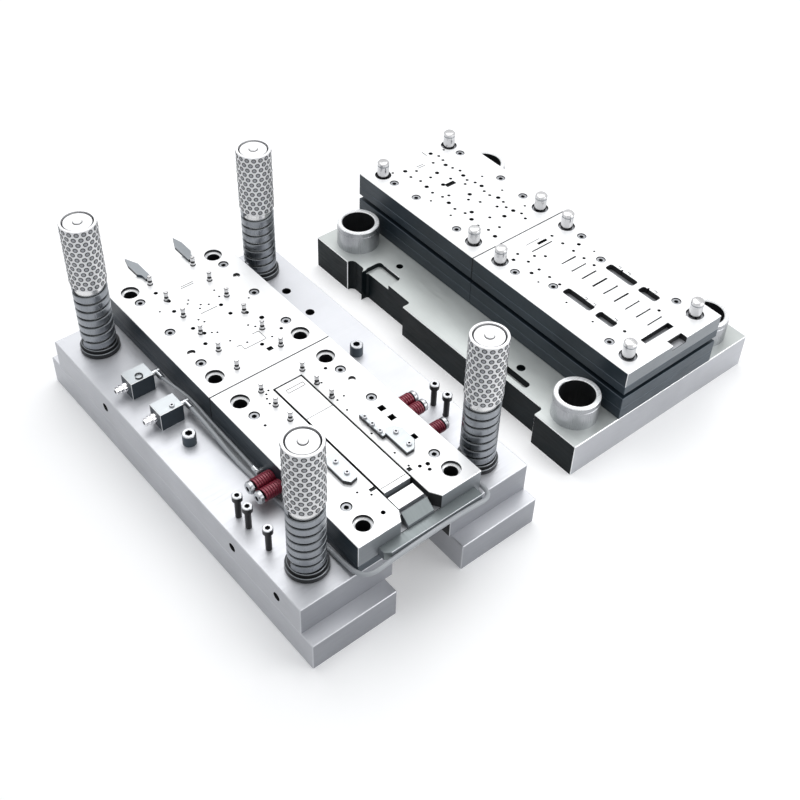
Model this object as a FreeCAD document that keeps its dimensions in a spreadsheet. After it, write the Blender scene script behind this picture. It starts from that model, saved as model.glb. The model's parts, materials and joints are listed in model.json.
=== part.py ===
import FreeCAD, Part
import math
import os
import re

import Sketcher

# A progressive stamping die set, opened for the bench. The lower half stands on its two risers. The upper
# half lies upside down beside it, on the face that bolts to the press ram, with its stripper plates on top.
#
# Each half is drawn in a frame of its own, in mm: X across the half from its centre line, Y from its
# front end towards the end where the strip enters, Z up from the floor. Each sub-part's Placement carries it
# into the common frame, whose origin is on the floor, midway between the two halves.

Vector = FreeCAD.Vector

# ------------------------------------------------------ driving dimensions

SIZES = [
    ("die_width", 187, "die plates, and the stack on the upper shoe"),
    ("post_clear", 38, "guide post's axis from the side of the die plates"),
    ("post_edge", 44.5, "guide post's axis from the side of the shoe"),
    ("shoe_length", 560, "both shoes, along the strip"),
    ("lower_shoe_thick", 45, "lower shoe"),
    ("upper_shoe_thick", 55, "upper shoe"),
    ("die_gap", 94, "floor left free between the two halves"),
    ("upper_shift", 3, "upper half set back along the strip"),
    ("riser_width", 124, "risers under the lower shoe"),
    ("riser_height", 45, "risers"),
    ("riser_overhang", 22, "riser beyond each end of the shoe, for the press clamps"),
    ("post_inset", 46, "guide post from each end of the shoe"),
    ("post_diameter", 40, "guide post"),
    ("post_rise", 212, "guide post above the lower shoe"),
    ("ball_diameter", 5, "balls of the cages"),
    ("cage_clearance", 0.5, "cage sleeve off the post, and off the bush, on the radius"),
    ("cage_length", 95, "ball cage"),
    ("cage_drop", 1, "top of the cage below the top of the post"),
    ("collar_diameter", 53, "flange of the collar at the foot of a post"),
    ("collar_flange", 8, "height of that flange"),
    ("collar_step_diameter", 48, "upper step of the collar"),
    ("collar_step", 5, "height of that step"),
    ("spring_band", 9.5, "height of the flat wire of a cage spring"),
    ("spring_wall", 2.2, "thickness of that wire"),
    ("spring_clearance", 0.9, "cage spring off the post, on the radius"),
    ("spring_seat_gap", 0.3, "cage spring under the cage"),
    ("spring_turns", 7, "turns of a cage spring"),
    ("joint_place", 300, "joint of the front and rear plates, from the front"),
    ("joint_gap", 0.6, "gap in that joint"),
    ("die_backing_thick", 12, "backing plates under the die plates"),
    ("die_plate_thick", 35, "die plates"),
    ("sub_guide_side", 26.5, "sub guide from the side of its plate"),
    ("sub_guide_end", 25, "sub guide from the outer end of its plate"),
    ("sub_guide_joint", 28, "sub guide from the joint"),
    ("sub_pin_diameter", 18, "sub guide pin"),
    ("sub_pin_rise", 25, "sub guide pin above the stripper plate"),
    ("sub_bush_outer", 25, "sub guide bush, outside"),
    ("sub_bush_drop", 4, "top of a sub guide bush below the die plate"),
    ("running_clearance", 0.05, "running fits, on the radius"),
    ("screw_side", 26.5, "plate screw from the side of its plate"),
    ("screw_head", 13, "head of a plate screw"),
    ("screw_head_height", 8, "height of that head"),
    ("screw_shank", 8, "shank of a plate screw"),
    ("screw_room", 0.75, "counterbore round a head, on the radius"),
    ("screw_sink", 1.5, "head below the face of its plate"),
    ("hex_key", 6, "key size of a plate screw"),
    ("hex_depth", 4, "depth of its socket"),
    ("dowel_diameter", 10, "dowels of the die plates"),
    ("dowel_sink", 3, "dowel below the face of its plate"),
    ("lifter_diameter", 8, "strip lifter pin"),
    ("lifter_rise", 14, "strip lifter above the die plates"),
    ("lifter_travel", 8, "travel of the strip lifters"),
    ("lifter_notch", 3, "notch that guides the strip's edge, high and deep"),
    ("lifter_left", 36, "left row of lifters from the centre line"),
    ("lifter_right", 33, "right row of lifters in the rear plate"),
    ("lifter_right_front", 28, "right row of lifters in the front plate"),
    ("lifter_joint", 24, "first lifter of the rear plate from the joint"),
    ("lifter_end", 26, "last lifter of the rear plate from its rear end"),
    ("lifter_step_front", 31, "step of the lifters along the front plate"),
    ("float_width", 40, "float plates between their slots"),
    ("float_slot", 2.5, "slot each side of the float plates"),
    ("float_front", 44, "front end of the float plates, from the front"),
    ("float_seam", 196, "seam of the two float plates, from the front"),
    ("float_rear", 262, "rear end of the float plates, from the front"),
    ("float_room", 8, "room under the float plates for their springs"),
    ("float_pin", 6, "pins that guide the float plates"),
    ("float_pin_engaged", 14, "length of a pin in its float plate"),
    ("float_seam_gap", 0.8, "gap in the seam of the float plates"),
    ("exit_width", 62, "mouth of the exit recess in the front end"),
    ("exit_drop", 5, "depth of the insert's ledge below the die plate"),
    ("exit_length", 14, "length of the sloping exit from the front end"),
    ("exit_fall", 11, "fall of the sloping exit to the front end"),
    ("exit_floor", 22, "floor under the sloping exit below the die plate"),
    ("insert_length", 22, "white insert along the strip"),
    ("insert_thick", 6, "white insert"),
    ("lead_width", 9, "rail of a lead-in guide"),
    ("lead_height", 9, "lead-in guide above the die plate"),
    ("lead_reach", 38, "lead-in guide beyond the rear end of the shoe"),
    ("lead_length", 56, "length of a lead-in guide"),
    ("lead_left", 33, "left lead-in guide from the centre line"),
    ("lead_right", 36, "right lead-in guide from the centre line"),
    ("guide_height", 6, "stock guides above the front die plate"),
    ("window_side", 9, "square windows of the front die plate"),
    ("cam_height", 21, "axis of the side cam rods above the shoe"),
    ("cam_rod", 8, "side cam rod"),
    ("cam_head", 17, "head of a side cam rod"),
    ("cam_head_thick", 6, "thickness of that head"),
    ("cam_reach", 30, "side cam rod beyond the die plate"),
    ("cam_bore_depth", 26, "bore for a side cam rod in the die plate"),
    ("cam_stand_off", 6, "rod's end from the bottom of its bore"),
    ("cam_travel", 5, "travel of the side cam rods"),
    ("cam_spring_outer", 18, "side cam spring, outside"),
    ("cam_spring_wall", 2.4, "side cam spring, thickness of its wire"),
    ("stop_diameter", 18, "stop posts on the shoe"),
    ("stop_height", 17, "stop posts"),
    ("stop_pitch", 266, "stop posts, centre to centre across"),
    ("stop_place", 291, "stop posts from the front"),
    ("standing_head", 13, "head of a standing screw"),
    ("standing_shank", 8, "shank of a standing screw"),
    ("standing_height", 38, "standing screw above the shoe"),
    ("standing_depth", 10, "standing screw in the shoe"),
    ("standing_pitch", 304, "standing screws, centre to centre across"),
    ("air_bar_left", 29.5, "left end of the air bar from the side of the die plates"),
    ("air_bar_right", 9.5, "right end of the air bar from the side of the die plates"),
    ("air_bar_depth", 15, "air bar, front to back"),
    ("air_bar_height", 13, "air bar"),
    ("air_bar_level", 12, "underside of the air bar above the shoe"),
    ("hose_diameter", 6, "grey air hose"),
    ("fitting_diameter", 8, "fittings of the air tubes"),
    ("tube_diameter", 4, "small air tubes"),
    ("manifold_width", 34, "manifold blocks, across"),
    ("manifold_length", 26, "manifold blocks, along the strip"),
    ("manifold_height", 28, "manifold blocks"),
    ("manifold_clear", 22.5, "inner face of a manifold block from the side of the die plates"),
    ("plug_diameter", 12, "nipple of a quick plug"),
    ("plug_length", 17, "nipple of a quick plug"),
    ("lift_hole_diameter", 12, "lifting holes in the side of the lower shoe"),
    ("lift_hole_depth", 18, "lifting holes"),
    ("waste_width", 90, "waste slot in the front end of the lower shoe"),
    ("waste_depth", 14, "waste slot, front to back"),
    ("bush_wall", 7.5, "guide bush"),
    ("bush_rise", 38, "guide bush above the upper shoe"),
    ("punch_backing_thick", 18, "backing plates on the upper shoe"),
    ("punch_plate_thick", 20, "punch plates"),
    ("stripper_gap", 8, "punch plates to stripper plates, when open"),
    ("stripper_backing_thick", 13.5, "backing plates of the stripper plates"),
    ("stripper_plate_thick", 25, "stripper plates"),
    ("bolt_head", 16, "head of a stripper bolt"),
    ("bolt_head_height", 8, "height of that head"),
    ("bolt_engaged", 10, "length of a stripper bolt in its plate"),
    ("stripper_spring", 16, "stripper springs, outside"),
    ("blade_width", 28, "slitting punches, across"),
    ("blade_thick", 1.6, "slitting punches"),
    ("blade_room", 0.5, "slots of the stripper round the slitting punches"),
    ("blade_step", 20.5, "step of the slitting punches along the strip"),
    ("blade_first", 49.5, "first slitting punch from the front"),
    ("blade_centre", 12, "slitting punches right of the centre line"),
    ("form_width", 14, "form pockets of the front stripper plate"),
    ("form_depth", 9, "depth of those pockets"),
    ("edge_recess", 14, "long recess in the left side of the upper shoe, from its edge"),
    ("edge_notch", 10, "rounded notch at the end of that recess, from the edge"),
    ("front_recess", 16, "short recess in the left side of the upper shoe, from its edge"),
    ("ledge_depth", 8, "ledge in the top of the upper shoe"),
]
DERIVED = [
    ("shoe_width", "die_width + 2 * post_clear + 2 * post_edge", "both shoes, across the strip"),
    ("post_pitch", "die_width + 2 * post_clear", "guide posts, centre to centre across"),
    ("sub_guide_pitch", "die_width - 2 * sub_guide_side", "sub guides, centre to centre across"),
    ("screw_pitch", "die_width - 2 * screw_side", "plate screws, centre to centre across"),
    ("lifter_step", "(shoe_length - joint_place - lifter_joint - lifter_end) / 5", "rear lifters' step"),
    ("air_bar_length", "die_width - air_bar_left - air_bar_right", "air bar across the front end"),
    ("air_bar_place", "(air_bar_left - air_bar_right) / 2", "middle of the air bar from the centre line"),
    ("stripper_thick", "stripper_backing_thick + stripper_plate_thick", "both stripper plates"),
]

doc = FreeCAD.newDocument("progressive_die_set")
sheet = doc.addObject("Spreadsheet::Sheet", "Sizes")
for row, (alias, content, what) in enumerate(SIZES + DERIVED, start=1):
    sheet.set(f"A{row}", alias)
    sheet.set(f"B{row}", f"={content}" if isinstance(content, str) else str(content))
    sheet.setAlias(f"B{row}", alias)
    sheet.set(f"C{row}", what)
doc.recompute()

ALIASES = {alias for alias, content, what in SIZES + DERIVED}


def bound(expression):
    """The expression with each size named as a cell of the sheet."""
    return re.sub(r"[a-z_]+", lambda m: f"Sizes.{m[0]}" if m[0] in ALIASES else m[0], str(expression))


def worth(expression):
    """The number that an expression in the sheet's sizes has now."""
    found = sheet.evalExpression(bound(expression))
    return float(getattr(found, "Value", found))


def point(x, y, z):
    return Vector(worth(x), worth(y), worth(z))


# ------------------------------------------------------ levels and places that several pieces share

LOWER_X = "-(shoe_width + die_gap) / 2"
UPPER_X = "(shoe_width + die_gap) / 2"
LOWER_Y = "-(shoe_length + lead_reach - riser_overhang) / 2"
UPPER_Y = f"{LOWER_Y} + upper_shift"

SHOE_BOTTOM = "riser_height"
SHOE_TOP = "(riser_height + lower_shoe_thick)"
DIE_BOTTOM = f"({SHOE_TOP} + die_backing_thick)"
DIE_TOP = f"({DIE_BOTTOM} + die_plate_thick)"
POST_TOP = f"({SHOE_TOP} + post_rise)"
COLLAR_TOP = f"({SHOE_TOP} + collar_flange + collar_step)"
CAGE_TOP = f"({POST_TOP} - cage_drop)"
CAGE_BOTTOM = f"({CAGE_TOP} - cage_length)"
CAM_LEVEL = f"({SHOE_TOP} + cam_height)"

PUNCH_BOTTOM = "(upper_shoe_thick + punch_backing_thick)"
PUNCH_TOP = f"({PUNCH_BOTTOM} + punch_plate_thick)"
STRIPPER_BOTTOM = f"({PUNCH_TOP} + stripper_gap)"
STRIPPER_TOP = f"({STRIPPER_BOTTOM} + stripper_thick)"

FRONT_END = "0"
FRONT_STOP = "(joint_place - joint_gap / 2)"
REAR_START = "(joint_place + joint_gap / 2)"
REAR_END = "shoe_length"

POSTS = {
    "front_left": ("-post_pitch / 2", "post_inset"),
    "front_right": ("post_pitch / 2", "post_inset"),
    "rear_left": ("-post_pitch / 2", "shoe_length - post_inset"),
    "rear_right": ("post_pitch / 2", "shoe_length - post_inset"),
}
FRONT_SUB_GUIDES = [(f"{side} * sub_guide_pitch / 2", y) for side in (-1, 1)
                    for y in ("sub_guide_end", "joint_place - sub_guide_joint")]
REAR_SUB_GUIDES = [(f"{side} * sub_guide_pitch / 2", y) for side in (-1, 1)
                   for y in ("joint_place + sub_guide_joint", "shoe_length - sub_guide_end")]


# ------------------------------------------------------ building blocks

sub_parts = []


def place(piece, label, half):
    """Labels a sub-part and carries it from its half's frame into the common one."""
    piece.Label = label
    piece.setExpression("Placement.Base.x", bound(LOWER_X if half == "lower" else UPPER_X))
    piece.setExpression("Placement.Base.y", bound(LOWER_Y if half == "lower" else UPPER_Y))
    sub_parts.append(piece)
    return piece


def new_body(label, half):
    return place(doc.addObject("PartDesign::Body", label), label, half)


def new_sketch(body, level="0", role="XY_Plane"):
    """A sketch on one of the body's own planes, moved along that plane's normal by level."""
    sketch = body.newObject("Sketcher::SketchObject", f"{body.Name}_sketch")
    plane = next(f for f in body.Origin.OriginFeatures if f.Role == role)
    sketch.AttachmentSupport = [(plane, "")]
    sketch.MapMode = "FlatFace"
    sketch.setExpression("AttachmentOffset.Base.z", bound(level))
    return sketch


def pin_point(sketch, edge, end, x, y):
    """Holds one point of a sketch at x, y, by two dimensions tied to the sheet."""
    for kind, expression in (("DistanceX", x), ("DistanceY", y)):
        at = sketch.addConstraint(Sketcher.Constraint(kind, -1, 1, edge, end, worth(expression)))
        sketch.setExpression(f"Constraints[{at}]", bound(expression))


def draw_outline(sketch, corners):
    """A closed outline of straight lines through the corners."""
    ends = [Vector(worth(x), worth(y), 0) for x, y in corners]
    lines = [sketch.addGeometry(Part.LineSegment(a, b), False) for a, b in zip(ends, ends[1:] + ends[:1])]
    for line, after in zip(lines, lines[1:] + lines[:1]):
        sketch.addConstraint(Sketcher.Constraint("Coincident", line, 2, after, 1))
    for line, (x, y) in zip(lines, corners):
        pin_point(sketch, line, 1, x, y)


def draw_rectangle(sketch, x, y, width, length):
    """A rectangle from its corner nearest the front left."""
    right = f"{x} + ({width})"
    rear = f"{y} + ({length})"
    draw_outline(sketch, [(x, y), (right, y), (right, rear), (x, rear)])


def draw_rounded(sketch, x, y, width, length, radius):
    """A rectangle with rounded corners, from its corner nearest the front left."""
    left, front = f"({x})", f"({y})"
    right, rear = f"({x} + {width})", f"({y} + {length})"
    starts = [(f"{left} + {radius}", front), (right, f"{front} + {radius}"),
              (f"{right} - {radius}", rear), (left, f"{rear} - {radius}")]
    ends = [(f"{right} - {radius}", front), (right, f"{rear} - {radius}"),
            (f"{left} + {radius}", rear), (left, f"{front} + {radius}")]
    centres = [(f"{right} - {radius}", f"{front} + {radius}"), (f"{right} - {radius}", f"{rear} - {radius}"),
               (f"{left} + {radius}", f"{rear} - {radius}"), (f"{left} + {radius}", f"{front} + {radius}")]
    lines = []
    arcs = []
    for turn, (start, end, centre) in enumerate(zip(starts, ends, centres)):
        lines.append(sketch.addGeometry(Part.LineSegment(point(*start, 0), point(*end, 0)), False))
        circle = Part.Circle(point(*centre, 0), Vector(0, 0, 1), worth(radius))
        corner = Part.ArcOfCircle(circle, (turn - 1) * math.pi / 2, turn * math.pi / 2)
        arcs.append(sketch.addGeometry(corner, False))
    for turn, (start, end) in enumerate(zip(starts, ends)):
        sketch.addConstraint(Sketcher.Constraint("Coincident", lines[turn], 2, arcs[turn], 1))
        sketch.addConstraint(Sketcher.Constraint("Coincident", arcs[turn], 2, lines[(turn + 1) % 4], 1))
        pin_point(sketch, lines[turn], 1, *start)
        pin_point(sketch, lines[turn], 2, *end)
        at = sketch.addConstraint(Sketcher.Constraint("Radius", arcs[turn], worth(radius)))
        sketch.setExpression(f"Constraints[{at}]", bound(radius))


def draw_circle(sketch, x, y, diameter):
    circle = Part.Circle(Vector(worth(x), worth(y), 0), Vector(0, 0, 1), worth(diameter) / 2)
    edge = sketch.addGeometry(circle, False)
    pin_point(sketch, edge, 3, x, y)
    at = sketch.addConstraint(Sketcher.Constraint("Diameter", edge, worth(diameter)))
    sketch.setExpression(f"Constraints[{at}]", bound(diameter))


def pad(body, sketch, length):
    feature = body.newObject("PartDesign::Pad", f"{body.Name}_pad")
    feature.Profile = sketch
    feature.setExpression("Length", bound(length))
    return feature


def pocket(body, sketch, depth):
    """Cuts from the sketch down, against its plane's normal."""
    feature = body.newObject("PartDesign::Pocket", f"{body.Name}_pocket")
    feature.Profile = sketch
    feature.setExpression("Length", bound(depth))
    return feature


def revolve(body, corners):
    """Turns an outline, given as radius and height, about the body's Z axis."""
    sketch = new_sketch(body, role="XZ_Plane")
    draw_outline(sketch, corners)
    feature = body.newObject("PartDesign::Revolution", f"{body.Name}_turned")
    feature.Profile = sketch
    feature.ReferenceAxis = (sketch, ["V_Axis"])
    feature.Angle = 360
    return feature


def plate(label, half, start, stop, bottom, thick, width="die_width"):
    """A rectangular plate centred on its half, from start to stop along the strip."""
    body = new_body(label, half)
    sketch = new_sketch(body, bottom)
    draw_rectangle(sketch, f"-({width}) / 2", start, width, f"({stop}) - ({start})")
    pad(body, sketch, thick)
    return body


def drill(body, level, places, diameter, depth):
    """Round holes from level down."""
    sketch = new_sketch(body, level)
    for x, y in places:
        draw_circle(sketch, x, y, diameter)
    pocket(body, sketch, depth)


def group(label, half, solids):
    """Identical or matching loose pieces under one name."""
    piece = doc.addObject("Part::Feature", label)
    piece.Shape = Part.makeCompound(solids)
    return place(piece, label, half)


def cylinder(diameter, height, at, along=Vector(0, 0, 1)):
    return Part.makeCylinder(worth(diameter) / 2, worth(height), at, along)


def tube_piece(outer, inner, height, at, along=Vector(0, 0, 1)):
    return cylinder(outer, height, at, along).cut(cylinder(inner, height, at, along))


def hexagon(key, height, at, along=Vector(0, 0, 1)):
    """A six-sided prism across flats key, from at along its axis."""
    corner = worth(key) / math.sqrt(3)
    turns = [k * math.pi / 3 for k in range(7)]
    ends = [Vector(corner * math.cos(turn), corner * math.sin(turn), 0) for turn in turns]
    prism = Part.Face(Part.makePolygon(ends)).extrude(Vector(0, 0, worth(height)))
    prism.Placement = FreeCAD.Placement(at, FreeCAD.Rotation(Vector(0, 0, 1), along))
    return prism


def socket_screw(head, head_height, shank, length, key, key_depth, top, down=Vector(0, 0, -1)):
    """A socket head cap screw whose head's top is at top, with its shank along down."""
    under = top + down * worth(head_height)
    solid = cylinder(head, head_height, top, down).fuse(cylinder(shank, length, under, down))
    return solid.cut(hexagon(key, key_depth, top, down))


def prism(corners, bottom, height):
    """An upright prism over an outline given as x, y."""
    ends = [point(x, y, bottom) for x, y in corners]
    return Part.Face(Part.makePolygon(ends + ends[:1])).extrude(Vector(0, 0, worth(height)))


# ------------------------------------------------------ lower half: risers and shoe

for side, label in ((-1, "riser_left"), (1, "riser_right")):
    outer = "-shoe_width / 2" if side < 0 else "shoe_width / 2 - riser_width"
    riser = new_body(label, "lower")
    outline = new_sketch(riser)
    draw_rectangle(outline, outer, "-riser_overhang", "riser_width", "shoe_length + 2 * riser_overhang")
    pad(riser, outline, "riser_height")

lower_shoe = plate("lower_shoe", "lower", "0", "shoe_length", SHOE_BOTTOM, "lower_shoe_thick", "shoe_width")
drill(lower_shoe, SHOE_TOP, POSTS.values(), "post_diameter", "lower_shoe_thick")
STANDING = [("-standing_pitch / 2", "155"), ("-standing_pitch / 2", "134"), ("-standing_pitch / 2", "93"),
            ("standing_pitch / 2", "153"), ("standing_pitch / 2", "129")]
drill(lower_shoe, SHOE_TOP, STANDING, "standing_shank", "standing_depth")
waste = new_sketch(lower_shoe, SHOE_TOP)
draw_rectangle(waste, "-waste_width / 2 + 4", "0", "waste_width", "waste_depth")
pocket(lower_shoe, waste, "lower_shoe_thick")
LIFT_HOLES = [  # (place along the shoe, depth)
    ("46", "lift_hole_depth"),
    ("136", "lift_hole_depth - 1"),
    ("shoe_length - 130", "lift_hole_depth - 2"),
]
for place_along, depth in LIFT_HOLES:
    lift = new_sketch(lower_shoe, "-shoe_width / 2", "YZ_Plane")
    draw_circle(lift, place_along, f"{SHOE_BOTTOM} + lower_shoe_thick / 2", "lift_hole_diameter")
    lift_hole = pocket(lower_shoe, lift, depth)
    lift_hole.Reversed = True

# ------------------------------------------------------ guide posts, collars, cages and their springs

posts = []
collars = []
for x, y in POSTS.values():
    foot = point(x, y, SHOE_BOTTOM)
    posts.append(cylinder("post_diameter", "lower_shoe_thick + post_rise", foot))
    flange = cylinder("collar_diameter", "collar_flange", point(x, y, SHOE_TOP))
    step = cylinder("collar_step_diameter", "collar_step", point(x, y, f"{SHOE_TOP} + collar_flange"))
    bore = cylinder("post_diameter", "collar_flange + collar_step", point(x, y, SHOE_TOP))
    collars.append(flange.fuse(step).cut(bore))
group("guide_posts", "lower", posts)
group("post_collars", "lower", collars)

CAGE_BORE = "(post_diameter / 2 + cage_clearance)"
CAGE_OUTER = "(post_diameter / 2 + ball_diameter - cage_clearance)"


def ball_cage(label, x, y):
    """The sleeve that carries the balls: a thick-walled tube with a plain rim at each end."""
    body = new_body(label, "lower")
    sketch = new_sketch(body, CAGE_BOTTOM)
    draw_circle(sketch, x, y, f"2 * {CAGE_OUTER}")
    draw_circle(sketch, x, y, f"2 * {CAGE_BORE}")
    pad(body, sketch, "cage_length")
    return body


FLATS_PER_TURN = 12


def flat_wire_spring(x, y, bottom, height, inner, wall, band, turns):
    """A spring of flat wire, as short flats from section to section up its helix."""
    steps = int(FLATS_PER_TURN * turns)
    climb = (height - band) / steps
    sections = []
    for k in range(steps + 1):
        angle = 2 * math.pi * k / FLATS_PER_TURN
        out = Vector(math.cos(angle), math.sin(angle), 0)
        low = Vector(x, y, bottom + k * climb)
        up = Vector(0, 0, band)
        corners = [low + out * inner, low + out * (inner + wall), low + out * (inner + wall) + up,
                   low + out * inner + up]
        sections.append(Part.makePolygon(corners + corners[:1]))
    return Part.makeLoft(sections, True, True)


for name, (x, y) in POSTS.items():
    ball_cage(f"ball_cage_{name}", x, y)
    spring = flat_wire_spring(
        worth(x), worth(y), worth(COLLAR_TOP), worth(f"{CAGE_BOTTOM} - {COLLAR_TOP} - spring_seat_gap"),
        worth("post_diameter / 2 + spring_clearance"), worth("spring_wall"), worth("spring_band"),
        worth("spring_turns"))
    group(f"cage_spring_{name}", "lower", [spring])

# ------------------------------------------------------ die plates

FRONT_SCREWS = [("-screw_pitch / 2", "56"), ("screw_pitch / 2", "56"),
                ("-screw_pitch / 2", "joint_place - 59"),
                ("screw_pitch / 2", "joint_place - 59"), ("screw_pitch / 2", "joint_place - 123")]
REAR_SCREWS = [(f"{side} * screw_pitch / 2", y) for side in (-1, 1)
               for y in ("joint_place + 60", "joint_place + 134", "shoe_length - 51")]
FRONT_DOWELS = [("screw_pitch / 2 + 1", "joint_place - 82")]
REAR_DOWELS = [("-screw_pitch / 2", "joint_place + 84"), ("screw_pitch / 2 + 1", "shoe_length - 82")]

REAR_LIFTERS = [(x, f"joint_place + 24 + {step} * lifter_step") for x in ("-lifter_left", "lifter_right")
                for step in range(6)]
FRONT_LIFTERS = [(x, f"joint_place - 30 - {step} * lifter_step_front")
                 for x in ("-lifter_left", "lifter_right_front") for step in range(3)]
LIFTER_HOLE = "lifter_diameter + 2 * running_clearance"


def screw_seats(body, places, top, thick):
    """Counterbores and through holes for socket head cap screws."""
    drill(body, top, places, "screw_head + 2 * screw_room", "screw_head_height + screw_sink")
    drill(body, f"{top} - screw_head_height - screw_sink", places, "screw_shank",
          f"{thick} - screw_head_height - screw_sink")


def plate_screws(places, top, thick):
    length = f"{thick} - screw_head_height - screw_sink"
    return [socket_screw("screw_head", "screw_head_height", "screw_shank", length, "hex_key", "hex_depth",
                         point(x, y, f"{top} - screw_sink")) for x, y in places]


CAM_BORE = "cam_rod + 2 * running_clearance"
LEFT_CAMS = ["148", "167"]
RIGHT_CAMS = ["104", "145", "164"]

die_plate_front = plate("die_plate_front", "lower", FRONT_END, FRONT_STOP, DIE_BOTTOM, "die_plate_thick")
drill(die_plate_front, DIE_TOP, FRONT_SUB_GUIDES, "sub_bush_outer", "die_plate_thick")
screw_seats(die_plate_front, FRONT_SCREWS, DIE_TOP, "die_plate_thick")
drill(die_plate_front, DIE_TOP, FRONT_DOWELS, "dowel_diameter", "die_plate_thick")
drill(die_plate_front, DIE_TOP, FRONT_LIFTERS, LIFTER_HOLE, "die_plate_thick")
float_well = new_sketch(die_plate_front, DIE_TOP)
draw_rectangle(float_well, "-float_width / 2 - float_slot", "float_front", "float_width + 2 * float_slot",
               "float_rear + float_slot - float_front")
pocket(die_plate_front, float_well, "die_plate_thick")
exit_recess = new_sketch(die_plate_front, DIE_TOP)
draw_outline(exit_recess, [("-exit_width / 2", "0"), ("exit_width / 2", "0"),
                           ("float_width / 2 + float_slot", "exit_length"),
                           ("float_width / 2 + float_slot", "float_front"),
                           ("-float_width / 2 - float_slot", "float_front"),
                           ("-float_width / 2 - float_slot", "exit_length")])
pocket(die_plate_front, exit_recess, "exit_drop + insert_thick")
exit_well = new_sketch(die_plate_front, DIE_TOP)
draw_outline(exit_well, [("-exit_width / 2", "0"), ("exit_width / 2", "0"),
                         ("float_width / 2 + float_slot", "exit_length"),
                         ("-float_width / 2 - float_slot", "exit_length")])
pocket(die_plate_front, exit_well, "exit_floor")
windows = new_sketch(die_plate_front, DIE_TOP)
for y in ("92", "134", "154"):
    draw_rectangle(windows, "65 - window_side / 2", f"{y} - window_side / 2", "window_side", "window_side")
pocket(die_plate_front, windows, "die_plate_thick / 2")
for side, rods in ((-1, LEFT_CAMS), (1, RIGHT_CAMS)):
    bores = new_sketch(die_plate_front, f"{side} * die_width / 2", "YZ_Plane")
    for y in rods:
        draw_circle(bores, y, CAM_LEVEL, CAM_BORE)
    cam_bores = pocket(die_plate_front, bores, "cam_bore_depth")
    cam_bores.Reversed = side < 0

die_plate_rear = plate("die_plate_rear", "lower", REAR_START, REAR_END, DIE_BOTTOM, "die_plate_thick")
drill(die_plate_rear, DIE_TOP, REAR_SUB_GUIDES, "sub_bush_outer", "die_plate_thick")
screw_seats(die_plate_rear, REAR_SCREWS, DIE_TOP, "die_plate_thick")
drill(die_plate_rear, DIE_TOP, REAR_DOWELS, "dowel_diameter", "die_plate_thick")
drill(die_plate_rear, DIE_TOP, REAR_LIFTERS, LIFTER_HOLE, "die_plate_thick")

backing = []
for start, stop in ((FRONT_END, FRONT_STOP), (REAR_START, REAR_END)):
    backing.append(prism([("-die_width / 2", start), ("die_width / 2", start), ("die_width / 2", stop),
                          ("-die_width / 2", stop)], SHOE_TOP, "die_backing_thick"))
group("die_backing_plates", "lower", backing)

bush_length = "die_plate_thick - sub_bush_drop"
group("sub_guide_bushes", "lower",
      [tube_piece("sub_bush_outer", "sub_pin_diameter + 2 * running_clearance", bush_length,
                  point(x, y, DIE_BOTTOM)) for x, y in FRONT_SUB_GUIDES + REAR_SUB_GUIDES])
group("die_screws", "lower", plate_screws(FRONT_SCREWS + REAR_SCREWS, DIE_TOP, "die_plate_thick"))
group("die_dowels", "lower",
      [cylinder("dowel_diameter", "die_plate_thick - dowel_sink", point(x, y, DIE_BOTTOM))
       for x, y in FRONT_DOWELS + REAR_DOWELS])

# ------------------------------------------------------ strip lifters and float plates


def strip_lifter(x, y, towards):
    """A round pin with a notch on the side that faces the strip, to guide the strip's edge."""
    pin = cylinder("lifter_diameter", "die_plate_thick - lifter_travel - 1 + lifter_rise",
                   point(x, y, f"{DIE_BOTTOM} + lifter_travel + 1"))
    inner = f"{x} + {towards} * (lifter_diameter / 2 - lifter_notch)"
    outer = f"{x} + {towards} * lifter_diameter"
    corners = [(inner, f"{y} - lifter_diameter"), (outer, f"{y} - lifter_diameter"),
               (outer, f"{y} + lifter_diameter"), (inner, f"{y} + lifter_diameter")]
    return pin.cut(prism(corners, f"{DIE_TOP} + lifter_rise - 2 * lifter_notch", "lifter_notch"))


def facing(x):
    return 1 if worth(x) < 0 else -1


group("lifters_rear", "lower", [strip_lifter(x, y, facing(x)) for x, y in REAR_LIFTERS])
group("lifters_front", "lower", [strip_lifter(x, y, facing(x)) for x, y in FRONT_LIFTERS])

FLOAT_THICK = "(die_plate_thick - float_room)"
FLOAT_BOTTOM = f"({DIE_TOP} - {FLOAT_THICK})"
FLOAT_PLATES = (
    ("float_plate_front", "(float_front + 0.4)", "(float_seam - float_seam_gap / 2)"),
    ("float_plate_rear", "(float_seam + float_seam_gap / 2)", "float_rear"),
)
float_pins = []
float_springs = []
for label, start, stop in FLOAT_PLATES:
    float_plate = plate(label, "lower", start, stop, FLOAT_BOTTOM, FLOAT_THICK, "float_width")
    guides = new_sketch(float_plate, FLOAT_BOTTOM)
    for y in (f"{start} + 15", f"{stop} - 15"):
        draw_circle(guides, "0", y, "float_pin + 2 * running_clearance")
        foot = point("0", y, DIE_BOTTOM)
        float_pins.append(cylinder("float_pin", "float_room + float_pin_engaged", foot))
        float_springs.append(tube_piece("2 * float_pin", "float_pin + 1", "float_room", foot))
    pin_holes = pocket(float_plate, guides, "float_pin_engaged + 3")
    pin_holes.Reversed = True
group("float_pins", "lower", float_pins)
group("float_springs_front", "lower", float_springs[:2])
group("float_springs_rear", "lower", float_springs[2:])

# ------------------------------------------------------ strip guides and the exit

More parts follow.
